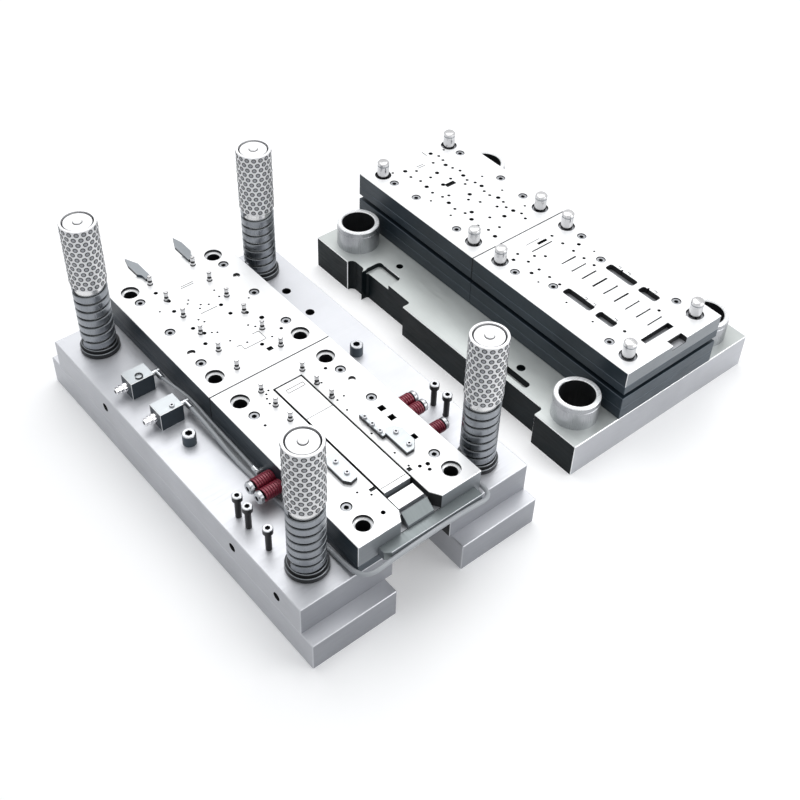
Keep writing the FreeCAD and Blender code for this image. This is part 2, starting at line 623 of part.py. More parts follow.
LEAD_PLACES = (("-lead_left", -1), ("lead_right", 1))
rails = []
for x, side in LEAD_PLACES:
    near = f"{x} - {side} * lead_width / 2"
    far = f"{x} + {side} * lead_width / 2"
    flare = f"{x} + {side} * lead_width"
    rails.append(prism([(near, f"{REAR_END} + lead_reach - lead_length"),
                        (far, f"{REAR_END} + lead_reach - lead_length"),
                        (far, f"{REAR_END} - 8"), (flare, f"{REAR_END} - 2"),
                        (flare, f"{REAR_END} + lead_reach - 16"),
                        (far, f"{REAR_END} + lead_reach"), (near, f"{REAR_END} + lead_reach - 20")],
                       DIE_TOP, "lead_height"))
group("lead_in_guides", "lower", rails)

LEFT_GUIDE = [("-49", "86"), ("-43", "78"), ("-32", "80"), ("-27", "90"), ("-27", "122"), ("-34", "129"),
              ("-43", "126"), ("-49", "116")]
RIGHT_GUIDE = [("38", "114"), ("44", "120"), ("54", "118"), ("60", "108"), ("60", "84"), ("50", "73"),
               ("38", "73"), ("38", "90")]
RIGHT_BAR = [("32", "112"), ("37", "112"), ("37", "158"), ("32", "158")]
group("stock_guides", "lower", [prism(outline, DIE_TOP, "guide_height")
                                for outline in (LEFT_GUIDE, RIGHT_GUIDE, RIGHT_BAR)])

exit_insert = plate("exit_insert", "lower", "exit_length + 4", "exit_length + 4 + insert_length",
                    f"{DIE_TOP} - exit_drop - insert_thick", "insert_thick", "float_width - 1")

exit_chute = new_body("exit_chute", "lower")
slope = new_sketch(exit_chute, "-float_width / 2", "YZ_Plane")
CHUTE_TOP = f"({DIE_TOP} - exit_drop - 1)"
draw_outline(slope, [("0", f"{DIE_TOP} - exit_floor"), ("exit_length", f"{DIE_TOP} - exit_floor"),
                     ("exit_length", CHUTE_TOP), ("0", f"{CHUTE_TOP} - exit_fall")])
pad(exit_chute, slope, "float_width")

# ------------------------------------------------------ side cams

def cam_rod(y, side):
    """A rod that runs in the side of the front die plate, with the head that its spring pushes outwards."""
    face = point(f"{side} * die_width / 2", y, CAM_LEVEL)
    outward = Vector(side, 0, 0)
    inner = face - outward * worth("cam_bore_depth - cam_stand_off")
    rod = cylinder("cam_rod", "cam_bore_depth - cam_stand_off + cam_reach", inner, outward)
    head = cylinder("cam_head", "cam_head_thick", face + outward * worth("cam_reach"), outward)
    return rod.fuse(head)


def cam_spring(y, side):
    """The spring on a side cam rod, as the sleeve that its close turns fill."""
    face = point(f"{side} * die_width / 2", y, CAM_LEVEL)
    inner = "cam_spring_outer - 2 * cam_spring_wall"
    return tube_piece("cam_spring_outer", inner, "cam_reach", face, Vector(side, 0, 0))


for side, name, rods in ((-1, "left", LEFT_CAMS), (1, "right", RIGHT_CAMS)):
    group(f"cam_rods_{name}", "lower", [cam_rod(y, side) for y in rods])
    group(f"cam_springs_{name}", "lower", [cam_spring(y, side) for y in rods])

# ------------------------------------------------------ stop posts and standing screws

stops = []
for side in (-1, 1):
    foot = point(f"{side} * stop_pitch / 2", "stop_place", SHOE_TOP)
    top = foot + Vector(0, 0, worth("stop_height"))
    stops.append(cylinder("stop_diameter", "stop_height", foot).cut(
        hexagon("hex_key * 1.4", "hex_depth", top, Vector(0, 0, -1))))
group("stop_posts", "lower", stops)
group("standing_screws", "lower",
      [socket_screw("standing_head", "screw_head_height", "standing_shank",
                    "standing_height + standing_depth - screw_head_height", "hex_key", "hex_depth",
                    point(x, y, f"{SHOE_TOP} + standing_height")) for x, y in STANDING])

# ------------------------------------------------------ air bar, hose, manifolds and tubes

AIR_BAR_BOTTOM = f"({SHOE_TOP} + air_bar_level)"
air_bar = new_body("air_bar", "lower")
bar_outline = new_sketch(air_bar, AIR_BAR_BOTTOM)
draw_outline(bar_outline, [("air_bar_place - air_bar_length / 2 + 8", "-air_bar_depth"),
                           ("air_bar_place + air_bar_length / 2", "-air_bar_depth"),
                           ("air_bar_place + air_bar_length / 2", "0"),
                           ("air_bar_place - air_bar_length / 2", "0"),
                           ("air_bar_place - air_bar_length / 2", "-air_bar_depth + 5")])
pad(air_bar, bar_outline, "air_bar_height")


def arc_between(a, corner, b, radius):
    """The tangent arc of a rounded corner: its start, its middle and its end."""
    into = (corner - a).normalize()
    out = (b - corner).normalize()
    half = into.getAngle(out) / 2
    setback = radius * math.tan(half)
    start = corner - into * setback
    end = corner + out * setback
    centre = corner + (out - into).normalize() * (radius / math.cos(half))
    middle = centre + (corner - centre).normalize() * radius
    return start, middle, end


def round_tube(points, diameter):
    """A solid round tube along straight runs with a tangent arc at each turn, and its length."""
    runs = [(b - a).Length for a, b in zip(points, points[1:])]
    edges = []
    at = points[0]
    for k in range(1, len(points) - 1):
        turn = (points[k] - points[k - 1]).getAngle(points[k + 1] - points[k])
        radius = 0.45 * min(runs[k - 1], runs[k]) / math.tan(turn / 2)
        start, middle, end = arc_between(points[k - 1], points[k], points[k + 1], radius)
        edges.append(Part.LineSegment(at, start).toShape())
        edges.append(Part.Arc(start, middle, end).toShape())
        at = end
        print(f"turn {math.degrees(turn):.0f} deg, radius {radius:.1f}")
    edges.append(Part.LineSegment(at, points[-1]).toShape())
    wire = Part.Wire(edges)
    first = points[1] - points[0]
    section = Part.Wire(Part.makeCircle(worth(diameter) / 2, points[0], first))
    solid = wire.makePipeShell([section], True, False)
    print(f"length {wire.Length:.1f}, volume over section times length "
          f"{solid.Volume / (math.pi * worth(diameter) ** 2 / 4 * wire.Length):.3f}")
    return solid


def elbow(face, outward, reach, onward, run):
    """A fitting that stands out from a face and turns: two round stubs that meet."""
    corner = face + outward * worth(reach)
    stub = cylinder("fitting_diameter", f"{reach} + fitting_diameter / 2", face, outward)
    return stub.fuse(cylinder("fitting_diameter", run, corner, onward))


LEFTWARD = Vector(-1, 0, 0)
RIGHTWARD = Vector(1, 0, 0)
FRONTWARD = Vector(0, -1, 0)
REARWARD = Vector(0, 1, 0)
MANIFOLD_PLACES = ["398", "328"]
MANIFOLD_INNER = "-die_width / 2 - manifold_clear"
MANIFOLD_OUTER = f"{MANIFOLD_INNER} - manifold_width"
MANIFOLD_LEVEL = f"{SHOE_TOP} + 0.55 * manifold_height"
AIR_BAR_LEVEL = f"{AIR_BAR_BOTTOM} + air_bar_height / 2"
AIR_BAR_MIDDLE = "-air_bar_depth / 2"
blocks = []
plugs = []
elbows = []
for y in MANIFOLD_PLACES:
    back = f"{y} + manifold_length"
    corners = [(MANIFOLD_OUTER, y), (MANIFOLD_INNER, y), (MANIFOLD_INNER, back), (MANIFOLD_OUTER, back)]
    blocks.append(prism(corners, SHOE_TOP, "manifold_height"))
    middle = f"{y} + manifold_length / 2"
    side = point(MANIFOLD_OUTER, middle, MANIFOLD_LEVEL)
    collar = cylinder("plug_diameter + 2", "6", side, LEFTWARD)
    plugs.append(collar.fuse(cylinder("plug_diameter", "plug_length", side, LEFTWARD)))
    inside = point(MANIFOLD_INNER, middle, MANIFOLD_LEVEL)
    elbows.append(elbow(inside, RIGHTWARD, "10", FRONTWARD, "14"))
elbows.append(elbow(point("-die_width / 2", "188", f"{SHOE_TOP} + 12"), LEFTWARD, "6.5", REARWARD, "10"))
elbows.append(elbow(point("die_width / 2", "87", f"{SHOE_TOP} + 7"), RIGHTWARD, "6.5", FRONTWARD, "10"))
group("manifold_blocks", "lower", blocks)
group("quick_plugs", "lower", plugs)
group("tube_fittings", "lower", elbows)

HOSE_LEVEL = f"{SHOE_TOP} + hose_diameter / 2 + 0.5"
BESIDE = "(die_width / 2 + 5.9)"
BEFORE = "(-air_bar_depth - hose_diameter / 2 - 0.5)"
HOSE_ROUTE = [
    (f"-{BESIDE} - 6.6", "326.6", MANIFOLD_LEVEL),
    (f"-{BESIDE} - 6.6", "285", f"{HOSE_LEVEL} + 10"),
    (f"-{BESIDE} - 7.6", "235", f"{HOSE_LEVEL} + 1"),
    (f"-{BESIDE} - 5.6", "170", HOSE_LEVEL),
    (f"-{BESIDE} - 2", "100", HOSE_LEVEL),
    (f"-{BESIDE}", "32", f"{HOSE_LEVEL} + 1"),
    (f"-{BESIDE}", BEFORE, f"{HOSE_LEVEL} + 9"),
    (f"-{BESIDE} + 45", BEFORE, f"{AIR_BAR_LEVEL} - 1"),
    ("16", BEFORE, f"{AIR_BAR_LEVEL} + 2"),
    (f"{BESIDE} - 40", BEFORE, f"{AIR_BAR_LEVEL} + 1"),
    (f"{BESIDE} + 0.5", BEFORE, f"{HOSE_LEVEL} + 11"),
    (f"{BESIDE} + 0.3", "26", f"{HOSE_LEVEL} + 6"),
    (f"{BESIDE} + 0.6", "76.6", f"{SHOE_TOP} + 7"),
]
TUBE_ROUTE = [
    (f"-{BESIDE} - 6.6", "396.6", MANIFOLD_LEVEL),
    (f"-{BESIDE} - 3.5", "372", f"{SHOE_TOP} + 17"),
    (f"-{BESIDE} + 1.9", "340", f"{SHOE_TOP} + 16"),
    (f"-{BESIDE} + 0.9", "290", f"{SHOE_TOP} + 12"),
    (f"-{BESIDE} + 1.4", "245", f"{SHOE_TOP} + 10"),
    (f"-{BESIDE} - 0.6", "198.4", f"{SHOE_TOP} + 12"),
]
group("air_hose", "lower", [round_tube([point(*at) for at in HOSE_ROUTE], "hose_diameter")])
group("air_tube", "lower", [round_tube([point(*at) for at in TUBE_ROUTE], "tube_diameter")])

# ------------------------------------------------------ upper half, ram face down

upper_shoe = plate("upper_shoe", "upper", "0", "shoe_length", "0", "upper_shoe_thick", "shoe_width")
BUSH_OUTER = "(post_diameter + 2 * ball_diameter + 2 * bush_wall)"
BUSH_BORE = "(post_diameter + 2 * ball_diameter)"
drill(upper_shoe, "upper_shoe_thick", POSTS.values(), BUSH_OUTER, "upper_shoe_thick")
EDGE = "-shoe_width / 2"
recesses = new_sketch(upper_shoe, "upper_shoe_thick")
draw_rounded(recesses, f"{EDGE} - 10", "353", "edge_recess + 10", "99", "4")
draw_rounded(recesses, f"{EDGE} - 10", "77", "front_recess + 10", "88", "5")
pocket(upper_shoe, recesses, "upper_shoe_thick")
notch = new_sketch(upper_shoe, "upper_shoe_thick")
draw_rounded(notch, f"{EDGE} - 20", "452", "edge_notch + 20", "32", "9")
pocket(upper_shoe, notch, "upper_shoe_thick")
ledges = new_sketch(upper_shoe, "upper_shoe_thick")
draw_rounded(ledges, f"{EDGE} + 9", "403", "30", "51", "6")
pocket(upper_shoe, ledges, "ledge_depth")
slot = new_sketch(upper_shoe, "upper_shoe_thick")
draw_rounded(slot, f"{EDGE} + 24", "120", "12", "56", "5")
pocket(upper_shoe, slot, "1.5 * ledge_depth")

bushes = []
for x, y in POSTS.values():
    bushes.append(tube_piece(BUSH_OUTER, BUSH_BORE, "upper_shoe_thick + bush_rise", point(x, y, "0")))
group("guide_bushes", "upper", bushes)

FRONT_BOLTS = [("-40", "joint_place - 24"), ("40", "24")]
REAR_BOLTS = [("-40", "shoe_length - 24"), ("40", "joint_place + 24")]

backings = []
for start, stop, bolts in ((FRONT_END, FRONT_STOP, FRONT_BOLTS), (REAR_START, REAR_END, REAR_BOLTS)):
    backing_plate = prism([("-die_width / 2", start), ("die_width / 2", start), ("die_width / 2", stop),
                           ("-die_width / 2", stop)], "upper_shoe_thick", "punch_backing_thick")
    for x, y in bolts:
        backing_plate = backing_plate.cut(cylinder("bolt_head + 2", "punch_backing_thick",
                                                   point(x, y, "upper_shoe_thick")))
    backings.append(backing_plate)
group("punch_backing_plates", "upper", backings)

for label, start, stop, guides, bolts in (
    ("punch_plate_front", FRONT_END, FRONT_STOP, FRONT_SUB_GUIDES, FRONT_BOLTS),
    ("punch_plate_rear", REAR_START, REAR_END, REAR_SUB_GUIDES, REAR_BOLTS),
):
    punch_plate = plate(label, "upper", start, stop, PUNCH_BOTTOM, "punch_plate_thick")
    drill(punch_plate, PUNCH_TOP, guides, "sub_pin_diameter", "punch_plate_thick")
    drill(punch_plate, PUNCH_TOP, bolts, "screw_shank + 2 * running_clearance", "punch_plate_thick")

PIN_TOP = f"({STRIPPER_TOP} + sub_pin_rise)"
pins = []
for x, y in FRONT_SUB_GUIDES + REAR_SUB_GUIDES:
    shaft = cylinder("sub_pin_diameter", f"{PIN_TOP} - {PUNCH_BOTTOM}", point(x, y, PUNCH_BOTTOM))
    rims = [edge for edge in shaft.Edges if edge.BoundBox.ZMin > worth(PIN_TOP) - 1]
    pins.append(shaft.makeChamfer(2, rims))
group("sub_guide_pins", "upper", pins)

BLADES = [f"blade_first + {step} * blade_step" for step in range(9)]
SLOT_LEFT = "blade_centre - blade_width / 2 - blade_room"
SLOT_WIDTH = "blade_width + 2 * blade_room"
SLOT_LENGTH = "blade_thick + 2 * blade_room"
PLATE_BOTTOM = f"({STRIPPER_BOTTOM} + stripper_backing_thick)"
PIN_HOLE = "sub_pin_diameter + 2 * running_clearance"


def punch_slots(body, top, depth):
    """The slots that the slitting punches pass through."""
    outlines = new_sketch(body, top)
    for y in BLADES:
        draw_rectangle(outlines, SLOT_LEFT, f"{y} - blade_thick / 2 - blade_room", SLOT_WIDTH, SLOT_LENGTH)
    pocket(body, outlines, depth)


for end, start, stop, guides, bolts in (
    ("front", FRONT_END, FRONT_STOP, FRONT_SUB_GUIDES, FRONT_BOLTS),
    ("rear", REAR_START, REAR_END, REAR_SUB_GUIDES, REAR_BOLTS),
):
    stripper = plate(f"stripper_plate_{end}", "upper", start, stop, PLATE_BOTTOM, "stripper_plate_thick")
    drill(stripper, STRIPPER_TOP, guides, PIN_HOLE, "stripper_plate_thick")
    drill(stripper, STRIPPER_TOP, guides, "sub_bush_outer", "sub_bush_drop")
    threads = new_sketch(stripper, PLATE_BOTTOM)
    for x, y in bolts:
        draw_circle(threads, x, y, "screw_shank")
    thread = pocket(stripper, threads, "bolt_engaged")
    thread.Reversed = True
    if end == "front":
        punch_slots(stripper, STRIPPER_TOP, "stripper_plate_thick")
        forms = new_sketch(stripper, STRIPPER_TOP)
        for x in ("-38", "48"):
            for y, length in (("76", "32"), ("118", "52")):
                draw_rounded(forms, f"{x} - form_width / 2", y, "form_width", length, "4")
        draw_rectangle(forms, "-6", "0", "28", "11")
        draw_rectangle(forms, "-32", "26", "56", "10")
        pocket(stripper, forms, "form_depth")

    stripper_backing = plate(f"stripper_backing_{end}", "upper", start, stop, STRIPPER_BOTTOM,
                             "stripper_backing_thick")
    drill(stripper_backing, PLATE_BOTTOM, guides, PIN_HOLE, "stripper_backing_thick")
    drill(stripper_backing, PLATE_BOTTOM, bolts, "stripper_spring + 1", "stripper_backing_thick")
    if end == "front":
        punch_slots(stripper_backing, PLATE_BOTTOM, "stripper_backing_thick")

for end, bolts in (("front", FRONT_BOLTS), ("rear", REAR_BOLTS)):
    bolt_pieces = []
    spring_pieces = []
    for x, y in bolts:
        head = cylinder("bolt_head", "bolt_head_height", point(x, y, f"{PUNCH_BOTTOM} - bolt_head_height"))
        length = "punch_plate_thick + stripper_gap + stripper_backing_thick + bolt_engaged"
        bolt_pieces.append(head.fuse(cylinder("screw_shank", length, point(x, y, PUNCH_BOTTOM))))
        height = "stripper_gap + stripper_backing_thick"
        foot = point(x, y, PUNCH_TOP)
        spring_pieces.append(tube_piece("stripper_spring", "screw_shank + 2", height, foot))
    group(f"stripper_bolts_{end}", "upper", bolt_pieces)
    group(f"stripper_springs_{end}", "upper", spring_pieces)

blades = []
for y in BLADES:
    corner = point("blade_centre - blade_width / 2", f"{y} - blade_thick / 2", PUNCH_TOP)
    rise = worth(f"{STRIPPER_TOP} - {PUNCH_TOP} - 3")
    blades.append(Part.makeBox(worth("blade_width"), worth("blade_thick"), rise, corner))
group("slitting_punches", "upper", blades)

# ------------------------------------------------------ checks and export

doc.recompute()
for made in doc.Objects:
    assert not {"Invalid", "Error"} & set(made.State), f"{made.Label} is {made.State}"
    if hasattr(made, "Shape") and made.TypeId != "App::Line" and made in sub_parts:
        assert not made.Shape.isNull(), f"{made.Label} has no shape"
        assert made.Shape.isValid(), f"{made.Label} isn't valid"

os.makedirs("parts", exist_ok=True)
for piece in sub_parts:
    solids = piece.Shape.Solids
    assert solids, f"{piece.Label} has no solid"
    piece.Shape.exportStep(f"parts/{piece.Label}.step")
    print(piece.Label, len(solids), "solid(s)", round(piece.Shape.Volume), "mm3")
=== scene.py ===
# %% [markdown]
# # An open progressive stamping die
#
# A stamping die comes in two halves. The lower half stands on two risers and carries four guide posts,
# each with a ball cage held up by a spring of flat wire. The upper half lies upside down beside it, so
# that its spring-loaded stripper plates are on top. The CAD model already has every plate, post and pin.
# This lesson dresses it: first the camera and the light, then the finishes, then the pieces whose fine
# form is easier to make here, such as balls, coils and screw heads.

import json
import math

import bmesh
import bpy
from mathutils import Euler, Matrix, Vector


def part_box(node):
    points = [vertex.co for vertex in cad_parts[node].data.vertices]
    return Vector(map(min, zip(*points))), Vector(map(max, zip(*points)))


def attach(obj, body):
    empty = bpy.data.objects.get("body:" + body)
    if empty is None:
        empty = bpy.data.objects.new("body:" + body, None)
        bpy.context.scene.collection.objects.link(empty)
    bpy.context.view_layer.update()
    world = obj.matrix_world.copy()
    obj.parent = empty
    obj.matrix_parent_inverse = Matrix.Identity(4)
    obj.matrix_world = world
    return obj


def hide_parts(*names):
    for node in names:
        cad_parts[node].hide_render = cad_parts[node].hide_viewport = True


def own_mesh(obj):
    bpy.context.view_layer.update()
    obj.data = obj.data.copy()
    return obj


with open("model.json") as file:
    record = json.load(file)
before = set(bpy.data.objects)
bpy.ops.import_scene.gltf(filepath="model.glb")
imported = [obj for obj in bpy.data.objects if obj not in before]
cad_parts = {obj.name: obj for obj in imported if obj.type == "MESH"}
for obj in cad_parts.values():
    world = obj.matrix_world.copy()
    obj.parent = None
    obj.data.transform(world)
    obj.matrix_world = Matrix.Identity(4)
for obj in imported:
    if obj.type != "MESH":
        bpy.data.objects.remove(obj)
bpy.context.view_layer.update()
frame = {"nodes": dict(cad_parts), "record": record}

# %% [markdown]
# Every place in this lesson is measured from one of the two halves: across from its centre line, along
# from its front end, and up from the floor, in millimetres. Reading both halves' places from the shoes
# keeps the lesson right if the CAD model moves them.

# %% Places in each half
MM = 0.001


def front_middle(shoe):
    low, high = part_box(shoe)
    return Vector(((low[0] + high[0]) / 2, low[1], 0.0))


LOWER = front_middle("lower_shoe")
UPPER = front_middle("upper_shoe")


def top_of(node):
    """The height of a CAD node's highest point, in millimetres."""
    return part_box(node)[1][2] / MM


def bottom_of(node):
    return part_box(node)[0][2] / MM


def in_lower(x, y, z):
    return LOWER + Vector((x, y, z)) * MM


def in_upper(x, y, z):
    return UPPER + Vector((x, y, z)) * MM


SHOE_TOP = top_of("lower_shoe")
DIE_TOP = top_of("die_plate_front")
STRIPPER_TOP = top_of("stripper_plate_front")
print(f"shoe top {SHOE_TOP:.0f} mm, die top {DIE_TOP:.0f} mm, stripper top {STRIPPER_TOP:.1f} mm")

# %% [markdown]
# ## Camera
#
# Tooling is usually shown from a corner and from well above, so that both faces and one long side
# show. A lens a little longer than normal keeps the long plates from tapering too much. The small shift
# frames the set without turning the camera, which would change how the posts lean.

# %% Camera
CAMERA_PLACE = (-0.8547, -0.9607, 1.2481)
CAMERA_TURN = (46.18, -1.96, -39.95)
LENS = 55.9

camera_data = bpy.data.cameras.new("camera")
camera_data.lens = LENS
camera_data.sensor_width = 36.0
camera_data.shift_x = -0.012
camera_data.shift_y = -0.0428
camera_data.clip_start = 0.05
camera_data.clip_end = 20.0
camera = bpy.data.objects.new("camera", camera_data)
camera.location = CAMERA_PLACE
camera.rotation_euler = Euler([math.radians(a) for a in CAMERA_TURN])
bpy.context.scene.collection.objects.link(camera)
bpy.context.scene.camera = camera
print("camera", [round(v, 3) for v in camera.location], "lens", LENS)

# %% [markdown]
# ## Light and floor
#
# Ground steel shows what stands round it, so the light has to be broad and soft. A large panel overhead
# makes the flat faces bright, a second one in front lifts the front ends, and the long left sides are
# left darker. The world is white to the camera and in reflections, and weaker for the light it gives. The
# floor gets a faint glow for the same rays, so that it reads as white while it keeps the set's shadow.

# %% World
def background_rays(tree):
    """The node that is 1 for rays that show a background: to the camera, in metal and through glass."""
    ray = tree.nodes.new("ShaderNodeLightPath")
    last = ray.outputs["Is Camera Ray"]
    for label in ("Is Glossy Ray", "Is Transmission Ray"):
        either = tree.nodes.new("ShaderNodeMath")
        either.operation = "MAXIMUM"
        tree.links.new(last, either.inputs[0])
        tree.links.new(ray.outputs[label], either.inputs[1])
        last = either.outputs[0]
    return last


world = bpy.data.worlds.new("studio")
bpy.context.scene.world = world
world.use_nodes = True
tree = world.node_tree
tree.nodes.clear()
WORLD_LIGHT = 0.42

output = tree.nodes.new("ShaderNodeOutputWorld")
seen = tree.nodes.new("ShaderNodeBackground")
lit = tree.nodes.new("ShaderNodeBackground")
choose = tree.nodes.new("ShaderNodeMixShader")
seen.inputs["Color"].default_value = (1, 1, 1, 1)
seen.inputs["Strength"].default_value = 1.0
lit.inputs["Color"].default_value = (0.93, 0.96, 1.0, 1)
lit.inputs["Strength"].default_value = WORLD_LIGHT
tree.links.new(background_rays(tree), choose.inputs["Fac"])
tree.links.new(lit.outputs[0], choose.inputs[1])
tree.links.new(seen.outputs[0], choose.inputs[2])
tree.links.new(choose.outputs[0], output.inputs["Surface"])
print("world light", WORLD_LIGHT)

# %% Soft panels
bpy.context.scene.view_settings.view_transform = "Standard"


def soft_panel(name, place, target, size, watts):
    """An area lamp at a place, facing a target."""
    data = bpy.data.lights.new(name, "AREA")
    data.shape = "RECTANGLE"
    data.size = size[0]
    data.size_y = size[1]
    data.energy = watts
    lamp = bpy.data.objects.new(name, data)
    lamp.location = place
    lamp.rotation_euler = (Vector(target) - Vector(place)).to_track_quat("-Z", "Y").to_euler()
    bpy.context.scene.collection.objects.link(lamp)
    return lamp


MIDDLE = (0.0, 0.0, 0.1)
OVERHEAD_WATTS = 34
FRONT_WATTS = 12
soft_panel("overhead", (0.25, 0.55, 1.9), MIDDLE, (2.2, 2.0), OVERHEAD_WATTS)
soft_panel("front", (0.9, -1.6, 1.0), MIDDLE, (1.4, 1.0), FRONT_WATTS)
print("two panels")

# %% Floor
FLOOR_SIZE = 14.0
FLOOR_GLOW = 0.22


def white_floor():
    """A wide pale floor that looks white to the camera and still takes the set's soft shadow."""
    mesh = bpy.data.meshes.new("floor")
    half = FLOOR_SIZE / 2
    corners = [(-half, -half, 0), (half, -half, 0), (half, half, 0), (-half, half, 0)]
    mesh.from_pydata(corners, [], [(0, 1, 2, 3)])
    floor = bpy.data.objects.new("floor", mesh)
    bpy.context.scene.collection.objects.link(floor)
    material = bpy.data.materials.new("floor paint")
    material.use_nodes = True
    paint = material.node_tree.nodes["Principled BSDF"]
    paint.inputs["Base Color"].default_value = (0.86, 0.86, 0.86, 1)
    paint.inputs["Roughness"].default_value = 0.9
    paint.inputs["Specular IOR Level"].default_value = 0.1
    paint.inputs["Emission Color"].default_value = (1, 1, 1, 1)
    glow = material.node_tree.nodes.new("ShaderNodeMath")
    glow.operation = "MULTIPLY"
    glow.inputs[1].default_value = FLOOR_GLOW
    material.node_tree.links.new(background_rays(material.node_tree), glow.inputs[0])
    material.node_tree.links.new(glow.outputs[0], paint.inputs["Emission Strength"])
    mesh.materials.append(material)
    return floor


floor = white_floor()
print("floor", FLOOR_SIZE, "m")

# %% [markdown]
# ## Finishes
#
# Nearly everything here is steel, so the pieces differ by how they were finished: ground faces carry fine
# straight marks, turned and polished pieces are smooth, and screws are blackened in an oil bath. One
# function makes a metal from its colour, its roughness and the direction of its marks. The marks come
# from a noise that is stretched along one axis of the object's own coordinates, so they stay on the piece
# when it moves.

# %% A metal with grinding marks
MARK_DEPTH = 0.0002


def new_material(name):
    material = bpy.data.materials.new(name)
    material.use_nodes = True
    return material, material.node_tree, material.node_tree.nodes["Principled BSDF"]


def stretched_noise(tree, scale, detail=3.0):
    """Noise over object coordinates, scaled apart along each axis."""
    place = tree.nodes.new("ShaderNodeTexCoord")
    stretch = tree.nodes.new("ShaderNodeMapping")
    stretch.inputs["Scale"].default_value = scale
    noise = tree.nodes.new("ShaderNodeTexNoise")
    noise.inputs["Scale"].default_value = 1.0
    noise.inputs["Detail"].default_value = detail
    tree.links.new(place.outputs["Object"], stretch.inputs["Vector"])
    tree.links.new(stretch.outputs["Vector"], noise.inputs["Vector"])
    return noise


def ramp(tree, source, low, high, start=0.3, end=0.7):
    """Carries a noise from one colour or value to another."""
    colours = tree.nodes.new("ShaderNodeValToRGB")
    colours.color_ramp.elements[0].position = start
    colours.color_ramp.elements[1].position = end
    colours.color_ramp.elements[0].color = (*low, 1) if hasattr(low, "__len__") else (low, low, low, 1)
    colours.color_ramp.elements[1].color = (*high, 1) if hasattr(high, "__len__") else (high, high, high, 1)
    tree.links.new(source.outputs[0], colours.inputs["Fac"])
    return colours


def metal(name, colour, roughness, metallic=1.0, marks=(30, 1400, 30), stain=0.12, cloud=14, gloss=0.5):
    """A metal surface: even patches of tone, and fine marks along one direction."""
    material, tree, surface = new_material(name)
    surface.inputs["Metallic"].default_value = metallic
    surface.inputs["Specular IOR Level"].default_value = gloss
    patches = stretched_noise(tree, (cloud, cloud, cloud), 4.0)
    darker = tuple(c * (1 - stain) for c in colour)
    tone = ramp(tree, patches, darker, colour)
    tree.links.new(tone.outputs["Color"], surface.inputs["Base Color"])
    lines = stretched_noise(tree, marks)
    rough = ramp(tree, lines, roughness * 0.8, min(1.0, roughness * 1.25))
    tree.links.new(rough.outputs["Color"], surface.inputs["Roughness"])
    bump = tree.nodes.new("ShaderNodeBump")
    bump.inputs["Strength"].default_value = 0.25
    bump.inputs["Distance"].default_value = MARK_DEPTH
    tree.links.new(lines.outputs[0], bump.inputs["Height"])
    tree.links.new(bump.outputs["Normal"], surface.inputs["Normal"])
    return material


print("metal finish ready")

# %% The set's finishes
FINISHES = {
    "riser_steel": metal("riser steel", (0.52, 0.53, 0.56), 0.42, 0.6, marks=(25, 25, 900), stain=0.12),
    "shoe_steel": metal("lower shoe steel", (0.60, 0.61, 0.64), 0.42, 0.5, marks=(20, 1100, 20), stain=0.08),
    "upper_shoe_steel": metal("upper shoe top", (0.56, 0.59, 0.58), 0.40, 0.5, marks=(900, 25, 25),
                              stain=0.14),
    "ground_steel": metal("ground steel", (0.80, 0.80, 0.80), 0.24, 1.0, marks=(30, 30, 1200), stain=0.08),
    "black_steel": metal("black oxide", (0.030, 0.031, 0.034), 0.38, 0.6, stain=0.3),
    "bar_steel": metal("bar steel", (0.20, 0.225, 0.23), 0.40, 0.5, marks=(900, 30, 30), stain=0.1),
    "cage_metal": metal("cage sleeve", (0.86, 0.86, 0.87), 0.40, 0.3, marks=(60, 60, 1500), stain=0.04),
    "spring_steel": metal("spring wire", (0.33, 0.35, 0.38), 0.30, 0.9, stain=0.25),
    "die_steel": metal("die steel", (0.88, 0.885, 0.89), 0.42, 0.3, marks=(1300, 22, 60), stain=0.04),
    "backing_steel": metal("backing steel", (0.07, 0.09, 0.11), 0.42, 0.5, marks=(40, 40, 900), stain=0.3),
    "screw_steel": metal("screw oxide", (0.028, 0.028, 0.030), 0.33, 0.6, stain=0.3),
    "float_steel": metal("float steel", (0.88, 0.88, 0.88), 0.42, 0.3, marks=(22, 1300, 60), stain=0.04),
    "lifter_steel": metal("lifter steel", (0.62, 0.62, 0.63), 0.22, 1.0, stain=0.15),
    "cam_steel": metal("cam steel", (0.42, 0.43, 0.45), 0.30, 0.9, stain=0.2),
    "red_spring": metal("red lacquer", (0.22, 0.018, 0.040), 0.30, 0.15, stain=0.2),
    "manifold_metal": metal("manifold", (0.52, 0.55, 0.57), 0.42, 0.6, stain=0.12),
    "plug_chrome": metal("chrome", (0.88, 0.88, 0.89), 0.12, 1.0, stain=0.03),
    "fitting_plastic": metal("plated fitting", (0.55, 0.57, 0.59), 0.25, 0.9, stain=0.15),
    "hose_plastic": metal("grey hose", (0.42, 0.44, 0.46), 0.36, 0.0, stain=0.1),
}
BRIGHT = metal("bright edge", (0.86, 0.87, 0.88), 0.30, 0.4, stain=0.04)
# A near-black material: painted shade in bores, sockets, grooves and the creases where plates meet, and the
# real black of a few parts, such as the cap strap and the sides of the guides.
SHADE_AND_BLACK = metal("painted shade and black", (0.012, 0.013, 0.015), 0.55, 0.2, stain=0.3)
GREY_FLOOR = metal("pocket floor", (0.36, 0.37, 0.39), 0.45, 0.6, marks=(1300, 22, 60), stain=0.15)
SLATE = metal("slate side", (0.026, 0.040, 0.054), 0.40, 0.2, marks=(40, 40, 900), stain=0.35, gloss=0.35)
END_GREY = metal("ground end", (0.26, 0.28, 0.30), 0.40, 0.5, marks=(40, 40, 900), stain=0.12)
SHOE_END = metal("milled end", (0.34, 0.35, 0.38), 0.45, 0.4, marks=(25, 25, 900), stain=0.12)
